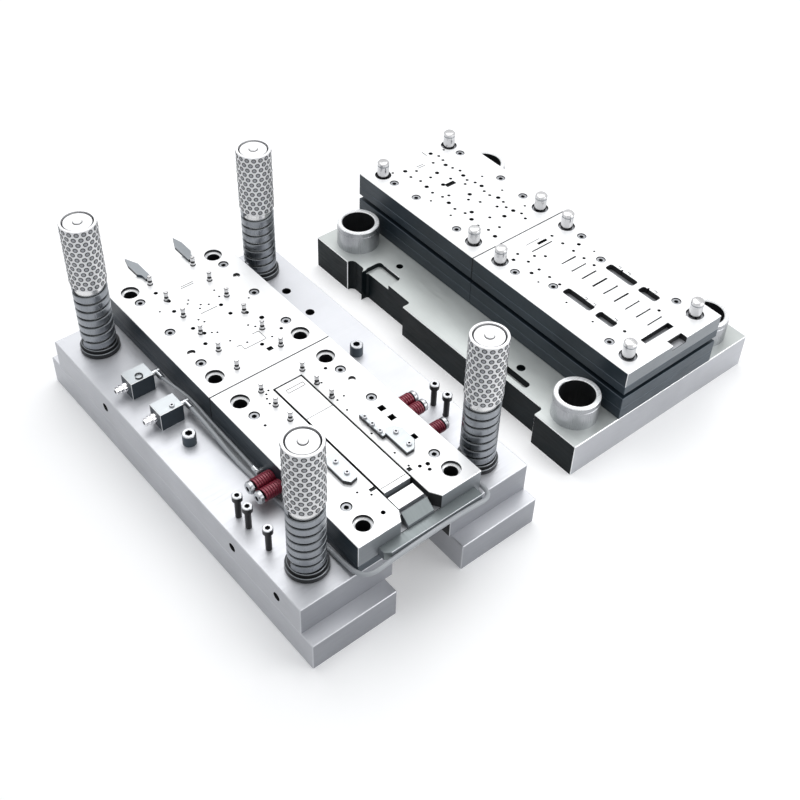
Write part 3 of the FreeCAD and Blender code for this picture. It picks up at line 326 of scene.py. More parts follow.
OXIDE = metal("oxide side", (0.006, 0.011, 0.014), 0.42, 0.0, marks=(30, 30, 500), stain=0.5, cloud=30,
              gloss=0.1)


def node_slots():
    return {entry["node"]: entry["material_slot"] for entry in frame["record"]["subparts"]}


SLOTS = node_slots()
for name, piece in frame["nodes"].items():
    piece.data.materials.clear()
    piece.data.materials.append(FINISHES[SLOTS[name]])
print(len(FINISHES), "finishes on", len(frame["nodes"]), "nodes")

# %% [markdown]
# ## Tools for shaping
#
# Most of the small pieces are turned on a lathe, so one function turns a profile round an axis. Each step
# of a profile is a radius, a height and which material the next face takes: a finish, or painted shade in
# a hollow. A radius below zero means a hexagon, for the sockets of screws. Another function winds a
# section into a coil.

# %% Turned pieces and coils
def keep(name, shape, finishes, sharp=35):
    """Turns a finished bmesh into an object, smooth except at its sharp edges."""
    bmesh.ops.recalc_face_normals(shape, faces=shape.faces)
    name = name.replace(" ", "_")
    mesh = bpy.data.meshes.new(name)
    shape.to_mesh(mesh)
    shape.free()
    for finish in finishes:
        mesh.materials.append(finish)
    mesh.shade_smooth()
    mesh.set_sharp_from_angle(angle=math.radians(sharp))
    piece = bpy.data.objects.new(name, mesh)
    bpy.context.scene.collection.objects.link(piece)
    return piece


def ring_point(radius, height, angle):
    if radius < 0:
        radius = -radius / math.cos(angle % (math.pi / 3) - math.pi / 6)
    return Vector((radius * math.cos(angle), radius * math.sin(angle), height)) * MM


def turned(name, places, profile, finishes, along=(0, 0, 1), segments=48):
    """Turns a profile round an axis at each place."""
    shape = bmesh.new()
    lean = Vector(along).to_track_quat("Z", "Y").to_matrix()
    for place in places:
        rings = []
        for radius, height, finish in profile:
            angles = [2 * math.pi * k / segments for k in range(segments if radius else 1)]
            points = [Vector(place) + lean @ ring_point(radius, height, angle) for angle in angles]
            rings.append([shape.verts.new(point) for point in points])
        if profile[0][0]:
            rings.append(rings[0])
        for (radius, height, finish), ring, after in zip(profile, rings, rings[1:]):
            for k in range(segments):
                corners = [ring[k % len(ring)], ring[(k + 1) % len(ring)],
                           after[(k + 1) % len(after)], after[k % len(after)]]
                face = shape.faces.new(list(dict.fromkeys(corners)))
                face.material_index = finish
    return keep(name, shape, finishes)


def coil(name, places, radius, section, height, turns, finishes, along=(0, 0, 1), segments=48):
    """Winds a closed section of (outward, upward, finish) round an axis, as many turns up to a height."""
    shape = bmesh.new()
    lean = Vector(along).to_track_quat("Z", "Y").to_matrix()
    steps = int(segments * turns)
    climb = (height - max(up for out, up, finish in section)) / steps
    for place in places:
        rings = []
        for k in range(steps + 1):
            angle = 2 * math.pi * k / segments
            points = [ring_point(radius + out, up + k * climb, angle) for out, up, finish in section]
            rings.append([shape.verts.new(Vector(place) + lean @ point) for point in points])
        for ring, after in zip(rings, rings[1:]):
            for k, (out, up, finish) in enumerate(section):
                other = (k + 1) % len(section)
                shape.faces.new([ring[k], ring[other], after[other], after[k]]).material_index = finish
        shape.faces.new(rings[0])
        shape.faces.new(rings[-1])
    return keep(name, shape, finishes)


print("lathe and coil ready")

# %% [markdown]
# Plates start from a copy of the CAD mesh. Its corners are joined and its flat faces made whole, its long
# outer edges get a small chamfer that catches the light, and then the fine holes and grooves are cut with
# a boolean. Finishes go on by direction: the ground top, the long sides, the ends and the chamfers; all
# that is inside a hole, and the chamfers where two plates meet, get painted shade.

# %% Plates from the CAD
def flat_copy(node, chamfer=0.8):
    """A cleaned copy of a CAD node, with its long outer edges chamfered."""
    mesh = frame["nodes"][node].data.copy()
    if "custom_normal" in mesh.attributes:
        mesh.attributes.remove(mesh.attributes["custom_normal"])
    shape = bmesh.new()
    shape.from_mesh(mesh)
    bmesh.ops.remove_doubles(shape, verts=shape.verts, dist=1e-5)
    bmesh.ops.dissolve_limit(shape, angle_limit=0.01, verts=shape.verts, edges=shape.edges)
    long_edges = [e for e in shape.edges if len(e.link_faces) == 2 and e.calc_length() > 12 * MM
                  and e.calc_face_angle_signed() > 1.2]
    if chamfer:
        bmesh.ops.bevel(shape, geom=long_edges, offset=chamfer * MM, segments=1, affect="EDGES")
    shape.to_mesh(mesh)
    shape.free()
    piece = bpy.data.objects.new(node + "_dressed", mesh)
    bpy.context.scene.collection.objects.link(piece)
    return piece


def baked(piece):
    """Keeps the result of an object's modifiers as its plain mesh."""
    bpy.context.view_layer.update()
    graph = bpy.context.evaluated_depsgraph_get()
    result = bpy.data.meshes.new_from_object(piece.evaluated_get(graph))
    piece.modifiers.clear()
    piece.data = result
    return piece


ABOVE = 1.0


def cut(piece, where, top, holes=(), slots=()):
    """Cuts round holes (x, y, width, depth) and square ones (x, y, wide, long, depth) down from a level.

    The cutters stand a little above the level. Any edge that the boolean leaves open is closed at the end.
    """
    shape = bmesh.new()
    for x, y, width, depth in holes:
        tall = depth + ABOVE
        middle = Matrix.Translation(where(x, y, top + ABOVE - tall / 2))
        radius = width / 2 * MM
        bmesh.ops.create_cone(shape, cap_ends=True, segments=24, radius1=radius, radius2=radius,
                              depth=tall * MM, matrix=middle)
    for x, y, wide, long, depth in slots:
        tall = depth + ABOVE
        middle = Matrix.Translation(where(x, y, top + ABOVE - tall / 2))
        size = Matrix.Diagonal((wide * MM, long * MM, tall * MM, 1))
        bmesh.ops.create_cube(shape, size=1, matrix=middle @ size)
    cutter = keep("cutter", shape, [])
    knife = piece.modifiers.new("holes", "BOOLEAN")
    knife.operation = "DIFFERENCE"
    knife.solver = "EXACT"
    knife.use_self = True
    knife.object = cutter
    baked(piece)
    bpy.data.objects.remove(cutter)
    whole = bmesh.new()
    whole.from_mesh(piece.data)
    bmesh.ops.holes_fill(whole, edges=[edge for edge in whole.edges if edge.is_boundary], sides=0)
    whole.to_mesh(piece.data)
    whole.free()
    return piece


SMALL_FLOOR = 150 * MM * MM


def dress(piece, top, side, end, inner=SHADE_AND_BLACK, floor=GREY_FLOOR, edge=BRIGHT, joint=0):
    """Gives each face of a plate its finish, by where it looks and whether it lies inside the outline.

    A joint of -1 or 1 gives the chamfer the inner material at the near or the far end, where another plate
    meets it: painted shade in the crease. Hole walls and the floors of small holes take the inner material
    too, which by default is painted shade.
    """
    mesh = piece.data
    mesh.materials.clear()
    for finish in (top, side, end, inner, floor, edge):
        mesh.materials.append(finish)
    corners = [v.co for v in mesh.vertices]
    low = Vector([min(c[k] for c in corners) for k in range(3)])
    high = Vector([max(c[k] for c in corners) for k in range(3)])
    near = 1.2 * MM
    meeting = high.y if joint > 0 else low.y
    for face in mesh.polygons:
        n, c = face.normal, face.center
        at_side = min(c.x - low.x, high.x - c.x) < near
        at_end = min(c.y - low.y, high.y - c.y) < near
        if n.z > 0.9:
            small = face.area < SMALL_FLOOR
            kind = 0 if high.z - c.z < near else 3 if small else 4
        elif n.z < -0.9:
            kind = 1
        elif abs(n.x) > 0.95 and at_side:
            kind = 1
        elif abs(n.y) > 0.95 and at_end:
            kind = 2
        elif (at_side or at_end or high.z - c.z < near) and 0.3 < max(abs(n.x), abs(n.y), n.z) < 0.9:
            kind = 3 if joint and abs(c.y - meeting) < near else 5
        else:
            kind = 3
        face.material_index = kind
        face.use_smooth = False
    return piece


def finished(piece, body, *nodes, slot=None):
    """Lets a piece ride on its body in place of the CAD nodes that it stands for."""
    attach(piece, body)
    if nodes:
        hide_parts(*nodes)
        slot = slot or SLOTS[nodes[0]]
    return piece


print("plate tools ready")

# %% [markdown]
# ## Repeats with geometry nodes
#
# Two node trees do the repeating. The first puts copies of one piece on a list of places. The second
# builds a ball cage's pattern: rings of balls one above the other, each ring turned by half a step from
# the last, and every ball facing outwards.

# %% Node trees
def new_tree(name, sockets):
    """A geometry tree with named inputs, its input node and its output node."""
    tree = bpy.data.node_groups.new(name, "GeometryNodeTree")
    tree.interface.new_socket("Geometry", in_out="OUTPUT", socket_type="NodeSocketGeometry")
    tree.interface.new_socket("Places", in_out="INPUT", socket_type="NodeSocketGeometry")
    for label, kind in sockets:
        tree.interface.new_socket(label, in_out="INPUT", socket_type="NodeSocket" + kind)
    return tree, tree.nodes.new("NodeGroupInput"), tree.nodes.new("NodeGroupOutput")


def set_finishes(tree, source, given, output):
    """Realizes the instances, then sets the outer finish on slot 0 and painted shade for the hollows on slot
    1.
    """
    real = tree.nodes.new("GeometryNodeRealizeInstances")
    tree.links.new(source, real.inputs["Geometry"])
    last = real.outputs["Geometry"]
    index = tree.nodes.new("GeometryNodeInputMaterialIndex")
    for number, label in enumerate(("Finish", "Hollow shade")):
        same = tree.nodes.new("FunctionNodeCompare")
        same.data_type = "INT"
        same.operation = "EQUAL"
        whole = [socket for socket in same.inputs if socket.enabled]
        tree.links.new(index.outputs[0], whole[0])
        whole[1].default_value = number
        paint = tree.nodes.new("GeometryNodeSetMaterial")
        tree.links.new(last, paint.inputs["Geometry"])
        tree.links.new(same.outputs["Result"], paint.inputs["Selection"])
        tree.links.new(given.outputs[label], paint.inputs["Material"])
        last = paint.outputs["Geometry"]
    tree.links.new(last, output.inputs["Geometry"])


COMMON = [("Piece", "Object"), ("Finish", "Material"), ("Hollow shade", "Material")]
copies_tree, given, output = new_tree("copies on places", COMMON)
piece_info = copies_tree.nodes.new("GeometryNodeObjectInfo")
spread = copies_tree.nodes.new("GeometryNodeInstanceOnPoints")
copies_tree.links.new(given.outputs["Piece"], piece_info.inputs["Object"])
copies_tree.links.new(given.outputs["Places"], spread.inputs["Points"])
copies_tree.links.new(piece_info.outputs["Geometry"], spread.inputs["Instance"])
set_finishes(copies_tree, spread.outputs["Instances"], given, output)

cage_tree, given, output = new_tree("ball rows", COMMON + [
    ("Balls in a row", "Int"), ("Rows", "Int"),
    ("Radius", "Float"), ("First row", "Float"), ("Row step", "Float")])
nodes, links = cage_tree.nodes, cage_tree.links
start = nodes.new("ShaderNodeCombineXYZ")
step = nodes.new("ShaderNodeCombineXYZ")
line = nodes.new("GeometryNodeMeshLine")
circle = nodes.new("GeometryNodeMeshCircle")
rings = nodes.new("GeometryNodeInstanceOnPoints")
number = nodes.new("GeometryNodeInputIndex")
odd = nodes.new("ShaderNodeMath")
odd.operation = "MODULO"
odd.inputs[1].default_value = 2.0
half_step = nodes.new("ShaderNodeMath")
half_step.operation = "DIVIDE"
half_step.inputs[0].default_value = math.pi
twist = nodes.new("ShaderNodeMath")
twist.operation = "MULTIPLY"
turn = nodes.new("ShaderNodeCombineXYZ")
whole = nodes.new("GeometryNodeRealizeInstances")
place = nodes.new("GeometryNodeInputPosition")
level = nodes.new("ShaderNodeVectorMath")
level.operation = "MULTIPLY"
level.inputs[1].default_value = (1, 1, 0)
face_out = nodes.new("FunctionNodeAlignEulerToVector")
face_out.axis = "Z"
ball_info = nodes.new("GeometryNodeObjectInfo")
balls = nodes.new("GeometryNodeInstanceOnPoints")
for source, target in (
    (given.outputs["First row"], start.inputs["Z"]), (given.outputs["Row step"], step.inputs["Z"]),
    (start.outputs[0], line.inputs["Start Location"]), (step.outputs[0], line.inputs["Offset"]),
    (given.outputs["Rows"], line.inputs["Count"]),
    (given.outputs["Balls in a row"], circle.inputs["Vertices"]),
    (given.outputs["Radius"], circle.inputs["Radius"]), (line.outputs[0], rings.inputs["Points"]),
    (circle.outputs[0], rings.inputs["Instance"]), (number.outputs[0], odd.inputs[0]),
    (given.outputs["Balls in a row"], half_step.inputs[1]), (odd.outputs[0], twist.inputs[0]),
    (half_step.outputs[0], twist.inputs[1]), (twist.outputs[0], turn.inputs["Z"]),
    (turn.outputs[0], rings.inputs["Rotation"]), (rings.outputs[0], whole.inputs[0]),
    (place.outputs[0], level.inputs[0]), (level.outputs[0], face_out.inputs["Vector"]),
    (given.outputs["Piece"], ball_info.inputs["Object"]), (whole.outputs[0], balls.inputs["Points"]),
    (ball_info.outputs["Geometry"], balls.inputs["Instance"]),
    (face_out.outputs[0], balls.inputs["Rotation"]),
):
    links.new(source, target)
set_finishes(cage_tree, balls.outputs["Instances"], given, output)


def repeated(name, tree, piece, values=(), places=()):
    """Runs a tree with one piece on a list of places, and keeps the result as a plain mesh."""
    name = name.replace(" ", "_")
    mesh = bpy.data.meshes.new(name)
    mesh.from_pydata([tuple(p) for p in places], [], [])
    host = bpy.data.objects.new(name, mesh)
    bpy.context.scene.collection.objects.link(host)
    modifier = host.modifiers.new("repeat", "NODES")
    modifier.node_group = tree
    wanted = {"Piece": piece, "Finish": piece.data.materials[0], "Hollow shade": piece.data.materials[-1]}
    wanted.update(values)
    for item in tree.interface.items_tree:
        if item.in_out == "INPUT" and item.name in wanted:
            modifier[item.identifier] = wanted[item.name]
    baked(host)
    host.data.shade_smooth()
    host.data.set_sharp_from_angle(angle=math.radians(35))
    return host


print("trees:", copies_tree.name, "and", cage_tree.name)

# %% [markdown]
# ## Guide posts
#
# Each post carries a ball cage near its top, held up by a spring of flat wire that stands on a black
# collar. The post ends in a flat disc with a small boss.

# %% Posts, collars and springs
POST_NODES = ("front_left", "front_right", "rear_left", "rear_right")
BOTTOM = bottom_of("guide_posts")
POST_TOP = top_of("guide_posts")
COLLAR_FOOT = bottom_of("post_collars")
COLLAR_TOP = top_of("post_collars")


def axis_of(node, level=0.0):
    """The middle of a round upright CAD node, at a level in millimetres."""
    low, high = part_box(node)
    return Vector(((low.x + high.x) / 2, (low.y + high.y) / 2, level * MM))


AXES = [axis_of("ball_cage_" + name) for name in POST_NODES]
ground = FINISHES["ground_steel"]
# The narrow band just under each post's top is near-black, and the thin ring round the boss's foot is
# painted shade.
posts = turned("posts", AXES, [
    (0, BOTTOM, 0), (20, BOTTOM, 0), (20, POST_TOP - 5, 2), (18.4, POST_TOP - 4, 2),
    (18.4, POST_TOP - 2.8, 1), (17.8, POST_TOP - 2.2, 1), (6.4, POST_TOP - 2.2, 2),
    (5.6, POST_TOP - 2.2, 0), (5.6, POST_TOP - 0.6, 1),
    (5.0, POST_TOP, 1), (0, POST_TOP, 1)], [ground, FINISHES["cage_metal"], SHADE_AND_BLACK], segments=64)
finished(posts, "lower_half", "guide_posts")
collars = turned("collars", AXES, [
    (20.05, COLLAR_FOOT, 0), (25.9, COLLAR_FOOT, 0), (26.5, COLLAR_FOOT + 0.6, 0),
    (26.5, COLLAR_FOOT + 7.2, 1),
    (25.8, COLLAR_FOOT + 8, 0), (24, COLLAR_FOOT + 8, 0), (24, COLLAR_TOP - 0.7, 1), (23.3, COLLAR_TOP, 0),
    (20.05, COLLAR_TOP, 0)], [FINISHES["black_steel"], END_GREY], segments=64)
finished(collars, "lower_half", "post_collars")

SPRING_RADIUS = 20.8
SPRING_TURNS = 7
WIRE = [(0, 0.5, 0), (0, 9.0, 1), (0.5, 9.5, 1), (1.7, 9.5, 1), (2.2, 9.0, 0), (2.3, 6.5, 0), (2.3, 3.0, 0),
        (2.2, 0.5, 1), (1.7, 0, 0), (0.5, 0, 0)]
for name, axis in zip(POST_NODES, AXES):
    node = "cage_spring_" + name
    foot = bottom_of(node)
    tall = top_of(node) - foot
    foot_place = axis + Vector((0, 0, foot * MM))
    spring = coil(node + " wound", [foot_place], SPRING_RADIUS, WIRE, tall, SPRING_TURNS,
                  [FINISHES["spring_steel"], END_GREY], segments=56)
    finished(spring, "lower_half", node)
    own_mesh(spring)
print("posts, collars and springs")

# %% Ball cages
BALLS_IN_ROW = 16
ROWS = 12
# Each ball stands in a near-black ring, painted shade of the hole in the sleeve round it.
BALL = [(0, 0.9, 0), (1.2, 0.75, 0), (2.2, 0.3, 1), (3.3, 0.28, 1), (3.3, -0.8, 1), (0, -0.8, 1)]
ball = turned("ball", [(0, 0, 0)], BALL, [GREY_FLOOR, SHADE_AND_BLACK], segments=10)
for name, axis in zip(POST_NODES, AXES):
    node = "ball_cage_" + name
    low, high = bottom_of(node), top_of(node)
    sleeve = turned(node + " sleeve", [axis], [
        (20.5, low, 0), (23.3, low, 0), (23.7, low + 0.4, 0), (23.7, high - 0.5, 0), (23.2, high, 0),
        (20.5, high, 0)], [FINISHES["cage_metal"]], segments=64)
    finished(sleeve, "cage_" + name, node)
    row_step = (high - low) / (ROWS + 0.2)
    pattern = repeated(node + " balls", cage_tree, ball, {
        "Balls in a row": BALLS_IN_ROW, "Rows": ROWS, "Radius": 23.55 * MM,
        "First row": (low + row_step * 0.6) * MM, "Row step": row_step * MM})
    pattern.data.transform(Matrix.Translation((axis.x, axis.y, 0)))
    finished(pattern, "cage_" + name, slot="cage_metal")
bpy.data.objects.remove(ball)
print(4 * BALLS_IN_ROW * ROWS, "balls")

# %% [markdown]
# ## Shoes and risers
#
# The big plates only need their chamfers, a few bolt holes and their finishes. The upper shoe is ground
# on its faces and left dark on its long sides.

# %% Shoes and risers
UPPER_TOP = top_of("upper_shoe")
UPPER_GREY = FINISHES["upper_shoe_steel"]

shoe = flat_copy("lower_shoe", 1.0)
cut(shoe, in_lower, SHOE_TOP, holes=[(134, 454, 13, 14), (133.4, 397, 13, 14)])
dress(shoe, FINISHES["shoe_steel"], FINISHES["riser_steel"], SHOE_END, edge=FINISHES["shoe_steel"])
finished(shoe, "lower_half", "lower_shoe")
for node in ("riser_left", "riser_right"):
    riser = flat_copy(node, 1.0)
    dress(riser, FINISHES["shoe_steel"], FINISHES["riser_steel"], SHOE_END, edge=FINISHES["shoe_steel"])
    finished(riser, "lower_half", node)
upper_shoe = flat_copy("upper_shoe", 1.0)
cut(upper_shoe, in_upper, UPPER_TOP, holes=[(-120, 427.5, 11, 12), (-128, 153, 13, 7)])
dress(upper_shoe, UPPER_GREY, OXIDE, FINISHES["riser_steel"], inner=OXIDE, floor=UPPER_GREY)
finished(upper_shoe, "upper_half", "upper_shoe")
print("shoes and risers")

# %% [markdown]
# ## Die plates
#
# The die's top face is where the strip is worked: round inserts, dowels, small pilot holes, and the fine
# lines of the inserts' outlines. The plates are ground on top and dark on their long sides.

# %% Die plates
REAR_HOLES = [(-65, 384, 9, 9), (-40, 513, 6, 8), (-35, 488, 6, 8), (-40.5, 466, 6, 8), (-39, 422, 6, 8),
              (-32.5, 405, 6, 8), (-42.6, 387, 6, 8), (16.4, 439, 6, 8), (16.8, 417, 6, 8), (35, 405, 6, 8),
              (45, 384.5, 7, 8), (15, 341, 6, 8), (53, 351, 5, 8), (58, 540, 5, 8), (54, 428, 3, 6),
              (-56, 477, 3, 6)]
REAR_DOTS = [(-18, 468), (-13, 474), (-10, 450), (-5, 456), (4, 450), (-24, 432), (-20, 424), (-24, 400),
             (-18, 396), (-14, 372), (2, 356), (22, 383), (28, 375), (30, 366), (34, 345), (26, 470),
             (24, 455)]
GROOVES = [(9, 347, 34, 1.2, 1), (26, 356, 1.2, 18, 1), (21, 365, 10, 1.2, 1), (-8, 352, 1.2, 10, 1),
           (-11, 357, 6, 1.2, 1), (-2, 440, 26, 1.2, 1), (2, 500, 20, 1.2, 1), (3, 503.5, 20, 1.2, 1),
           (18.5, 328, 8, 7, 4)]
rear = flat_copy("die_plate_rear", 0.7)
cut(rear, in_lower, DIE_TOP, holes=REAR_HOLES + [(x, y, 3.2, 4) for x, y in REAR_DOTS], slots=GROOVES)
front = flat_copy("die_plate_front", 0.7)
FRONT_DOTS = [(-34, 262), (-28, 266), (-38, 255), (-40, 246), (33, 236), (30, 199), (29, 178), (41, 200),
              (-33, 152), (-36, 141), (-44, 65), (-33, 52), (30, 60), (33, 141), (28, 128), (30, 86),
              (60, 104)]
cut(front, in_lower, DIE_TOP, holes=[
    (-66, 219, 4, 8), (-39, 23, 6, 8), (40, 51, 5, 8), (50, 48, 6, 8), (53, 254, 5, 8), (46, 40, 5, 5)]
    + [(x, y, 3.2, 4) for x, y in FRONT_DOTS], slots=[(-27, 58, 8, 5, 2), (27, 55, 6, 6, 2)])
for plate, node, joint in ((rear, "die_plate_rear", -1), (front, "die_plate_front", 1)):
    dress(plate, FINISHES["die_steel"], SLATE, END_GREY, joint=joint)
    finished(plate, "lower_half", node)
FLOAT_LINES = {
    "front": [(0, 52, 38, 1.0, 1)],
    "rear": [(2, 252, 26, 1.2, 1), (2, 246, 26, 1.2, 1), (-11, 249, 1.1, 6, 1), (15, 249, 1.1, 6, 1)],
}
for name, slots in FLOAT_LINES.items():
    plate = flat_copy("float_plate_" + name, 0.3)
    cut(plate, in_lower, DIE_TOP, slots=slots)
    dress(plate, FINISHES["float_steel"], SHADE_AND_BLACK, END_GREY)
    finished(plate, "float_" + name, "float_plate_" + name)
print("die plates")

# %% [markdown]
# ## The upper half's stack
#
# The two stripper plates carry more counterbored screws, and many small holes for punches and pilots.

# %% Stripper plates and their stack
STRIP_SCREWS = [(side * 67, y) for side in (-1, 1) for y in (58.5, 241, 365, 508)]
STRIP_SCREWS += [(-64, 460), (72, 419.5), (-46, 185.5), (50, 186)]
COUNTERBORES = [(x, y, 14, 9) for x, y in STRIP_SCREWS]
rows = [(-34 + 3 * math.sin(k * 2.1), 318 + 17 * k) for k in range(13)]
rows += [(31 + 4 * math.sin(k * 1.7), 322 + 12.5 * k) for k in range(18)]
rows += [(-14 + 9 * math.sin(k * 2.6), 330 + 26 * k) for k in range(8)]
rows += [(10 + 8 * math.sin(k * 1.9), 345 + 24 * k) for k in range(8)]
REAR_STRIP = [(x, y, 5 if k % 3 else 7, 8) for k, (x, y) in enumerate(rows)]
REAR_STRIP += [(side * 52, y, 4, 8) for side in (-1, 1) for y in (345, 395, 440, 530)]
FRONT_STRIP = [(x, y, 5, 8) for x in (-36, 33) for y in (60, 183, 203, 224, 246, 268)]
FRONT_STRIP += [(-20, 250, 5, 8), (-8, 240, 5, 8), (-50, 225, 6, 8), (-50, 262, 6, 8), (50, 230, 6, 8)]
FRONT_STRIP += [(side * 56, y, 3.4, 8) for side in (-1, 1) for y in (30, 100, 150, 205)]
MARKS = [(-27, y, 1.2, 5, 1) for y in (84, 124, 140)] + [(-29, y - 3, 4, 1.2, 1) for y in (84, 124, 140)]
MARKS += [(60, y, 1.2, 5, 1) for y in (90, 140, 158)] + [(58, y - 3, 4, 1.2, 1) for y in (90, 140, 158)]
for name, holes, slots in (
    ("front", FRONT_STRIP, MARKS + [(4, 259, 40, 2.2, 3), (12, 267, 18, 5, 5), (0, 275, 26, 1.2, 1)]),
    ("rear", REAR_STRIP, [(0, 455, 18, 8, 4), (-6, 520, 14, 1.2, 1), (-6, 516, 14, 1.2, 1),
                          (20, 540, 1.3, 12, 1)]),
):
    plate = flat_copy("stripper_plate_" + name, 0.7)
    inside = [h for h in COUNTERBORES if (h[1] < 300) == (name == "front")]
    cut(plate, in_upper, STRIPPER_TOP, holes=inside + holes, slots=slots)
    joint = 1 if name == "front" else -1
    dress(plate, FINISHES["die_steel"], SLATE, END_GREY, joint=joint)
    finished(plate, "stripper_" + name, "stripper_plate_" + name)
    backing = flat_copy("stripper_backing_" + name, 0.6)
    dress(backing, SLATE, SLATE, FINISHES["backing_steel"], edge=FINISHES["backing_steel"], joint=joint)
    finished(backing, "stripper_" + name, "stripper_backing_" + name)
for node, body in (("die_backing_plates", "lower_half"), ("punch_backing_plates", "upper_half"),
                   ("punch_plate_front", "upper_half"), ("punch_plate_rear", "upper_half")):
    plate = flat_copy(node, 0.6)
    dress(plate, SLATE, SLATE, FINISHES["backing_steel"], edge=FINISHES["backing_steel"])
    finished(plate, body, node)
print("stack")

# %% [markdown]
# ## Screws, pins and lifters
#
# Socket head screws share one piece, put on their places by the first node tree. The strip lifters are
# round pins with a groove just below the head.

# %% Socket head screws
# The hex socket in each head is painted shade.
HEAD = [(0, -4, 1), (-3, -4, 1), (-3, 0, 0), (5.9, 0, 0), (6.5, -0.6, 0), (6.5, -8, 0), (0, -8, 0)]
screw = turned("screw head", [(0, 0, 0)], HEAD, [GREY_FLOOR, SHADE_AND_BLACK], segments=24)
die_screws = [(-67, 56), (67, 56), (-67, 241), (67, 241), (67, 177)]
die_screws += [(side * 67, y) for side in (-1, 1) for y in (360, 434, 509)]
places = [in_lower(x, y, DIE_TOP - 1.5) for x, y in die_screws]
heads = repeated("die screws", copies_tree, screw, places=places)
finished(heads, "lower_half", "die_screws")
for name in ("front", "rear"):
    places = [in_upper(x, y, STRIPPER_TOP - 1) for x, y in STRIP_SCREWS if (y < 300) == (name == "front")]
    heads = repeated("stripper screws " + name, copies_tree, screw, places=places)
    finished(heads, "stripper_" + name, slot="screw_steel")
bpy.data.objects.remove(screw)
print(len(die_screws) + len(STRIP_SCREWS), "screw heads")

# %% Strip lifters
FOOT = bottom_of("lifters_rear") - DIE_TOP
# The groove, the band where each lifter leaves the die and the chamfer round its top are near-black; in the
# groove and at the die this is painted shade.
LIFTER = [(0, FOOT, 0), (4, FOOT, 0), (4, -0.5, 1), (3.2, 0.2, 1), (3.2, 1.6, 0), (3.2, 4.6, 1), (2.1, 5, 1),
          (2.1, 8, 1), (3.2, 8.4, 0), (3.2, 13.3, 1), (2.6, 14, 0), (0, 14, 0)]
lifter = turned("lifter", [(0, 0, 0)], LIFTER, [FINISHES["lifter_steel"], SHADE_AND_BLACK], segments=16)
LIFTERS = {
    "rear": [(x, 324 + 42 * k) for x in (-36, 33) for k in range(6)],
    "front": [(x, 270 - 31 * k) for x in (-36, 28) for k in range(3)],
}
for name, rows in LIFTERS.items():
    places = [in_lower(x, y, DIE_TOP) for x, y in rows]
    group = repeated("lifters " + name, copies_tree, lifter, places=places)
    finished(group, "lifters_" + name, "lifters_" + name)
bpy.data.objects.remove(lifter)
print("lifters")

# %% Guide bushes, sub guides and posts
BUSH_FOOT, BUSH_TOP = bottom_of("guide_bushes"), top_of("guide_bushes")
BUSH_AXES = [in_upper(x, y, 0) for x in (-131.5, 131.5) for y in (46, 514)]
# The bore of each guide bush is painted shade.
bushes = turned("guide bushes", BUSH_AXES, [
    (25, BUSH_FOOT, 0), (32.5, BUSH_FOOT, 0), (32.5, BUSH_TOP - 9, 0), (31.9, BUSH_TOP - 8.4, 0),
    (31.9, BUSH_TOP - 1.2, 1), (30.7, BUSH_TOP, 1), (26.2, BUSH_TOP, 1), (25, BUSH_TOP - 1.2, 2)],
    [FINISHES["cam_steel"], BRIGHT, SHADE_AND_BLACK], segments=64)
finished(bushes, "upper_half", "guide_bushes")
SUB_AXES = [(x, y) for x in (-67, 67) for y in (25, 272, 328, 535)]
sub_foot, sub_top = bottom_of("sub_guide_bushes"), top_of("sub_guide_bushes")
# The bore of each sub guide bush is painted shade too.
sub_bushes = turned("sub guide bushes", [in_lower(x, y, 0) for x, y in SUB_AXES], [
    (9.05, sub_foot, 0), (12.45, sub_foot, 0), (12.45, sub_top, 0), (11.0, sub_top, 0),
    (9.05, sub_top - 1.5, 1)], [BRIGHT, SHADE_AND_BLACK], segments=40)
finished(sub_bushes, "lower_half", "sub_guide_bushes")
pin_foot, pin_top = bottom_of("sub_guide_pins"), top_of("sub_guide_pins")
pins = turned("sub guide pins", [in_upper(x, y, 0) for x, y in SUB_AXES], [
    (0, pin_foot, 0), (9, pin_foot, 0), (9, pin_top - 7, 1), (8.6, pin_top - 6.6, 1),
    (8.6, pin_top - 5.8, 1), (9, pin_top - 5.4, 0), (9, pin_top - 2.2, 0), (7.2, pin_top - 0.2, 0),
    (6.6, pin_top, 0), (0, pin_top, 0)], [FINISHES["lifter_steel"], END_GREY], segments=40)
finished(pins, "upper_half", "sub_guide_pins")
stop_top = top_of("stop_posts")
# The hex sockets in the stop posts are painted shade.
stops = turned("stop posts", [in_lower(x, 291, 0) for x in (-133, 133)], [
    (0, stop_top - 6, 1), (-4.4, stop_top - 6, 1), (-4.4, stop_top, 2), (8, stop_top, 2),
    (9, stop_top - 1, 0), (9, SHOE_TOP, 0), (0, SHOE_TOP, 0)],
    [FINISHES["backing_steel"], SHADE_AND_BLACK, FINISHES["cam_steel"]], segments=48)
finished(stops, "lower_half", "stop_posts")
stand_top = top_of("standing_screws")
stand_foot = bottom_of("standing_screws")
STANDING = [(-152, 93), (-152, 134), (-152, 155), (152, 128), (152, 153)]
# The hex sockets in the standing screws are painted shade.
standing = turned("standing screws", [in_lower(x, y, 0) for x, y in STANDING], [
    (0, stand_top - 4, 1), (-3, stand_top - 4, 1), (-3, stand_top, 2), (5.7, stand_top, 2),
    (6.5, stand_top - 0.8, 0), (6.5, stand_top - 8, 0), (4, stand_top - 8.2, 0), (4, stand_foot, 0),
    (0, stand_foot, 0)], [FINISHES["screw_steel"], SHADE_AND_BLACK, FINISHES["cam_steel"]], segments=36)
finished(standing, "lower_half", "standing_screws")
print("bushes, pins and posts")
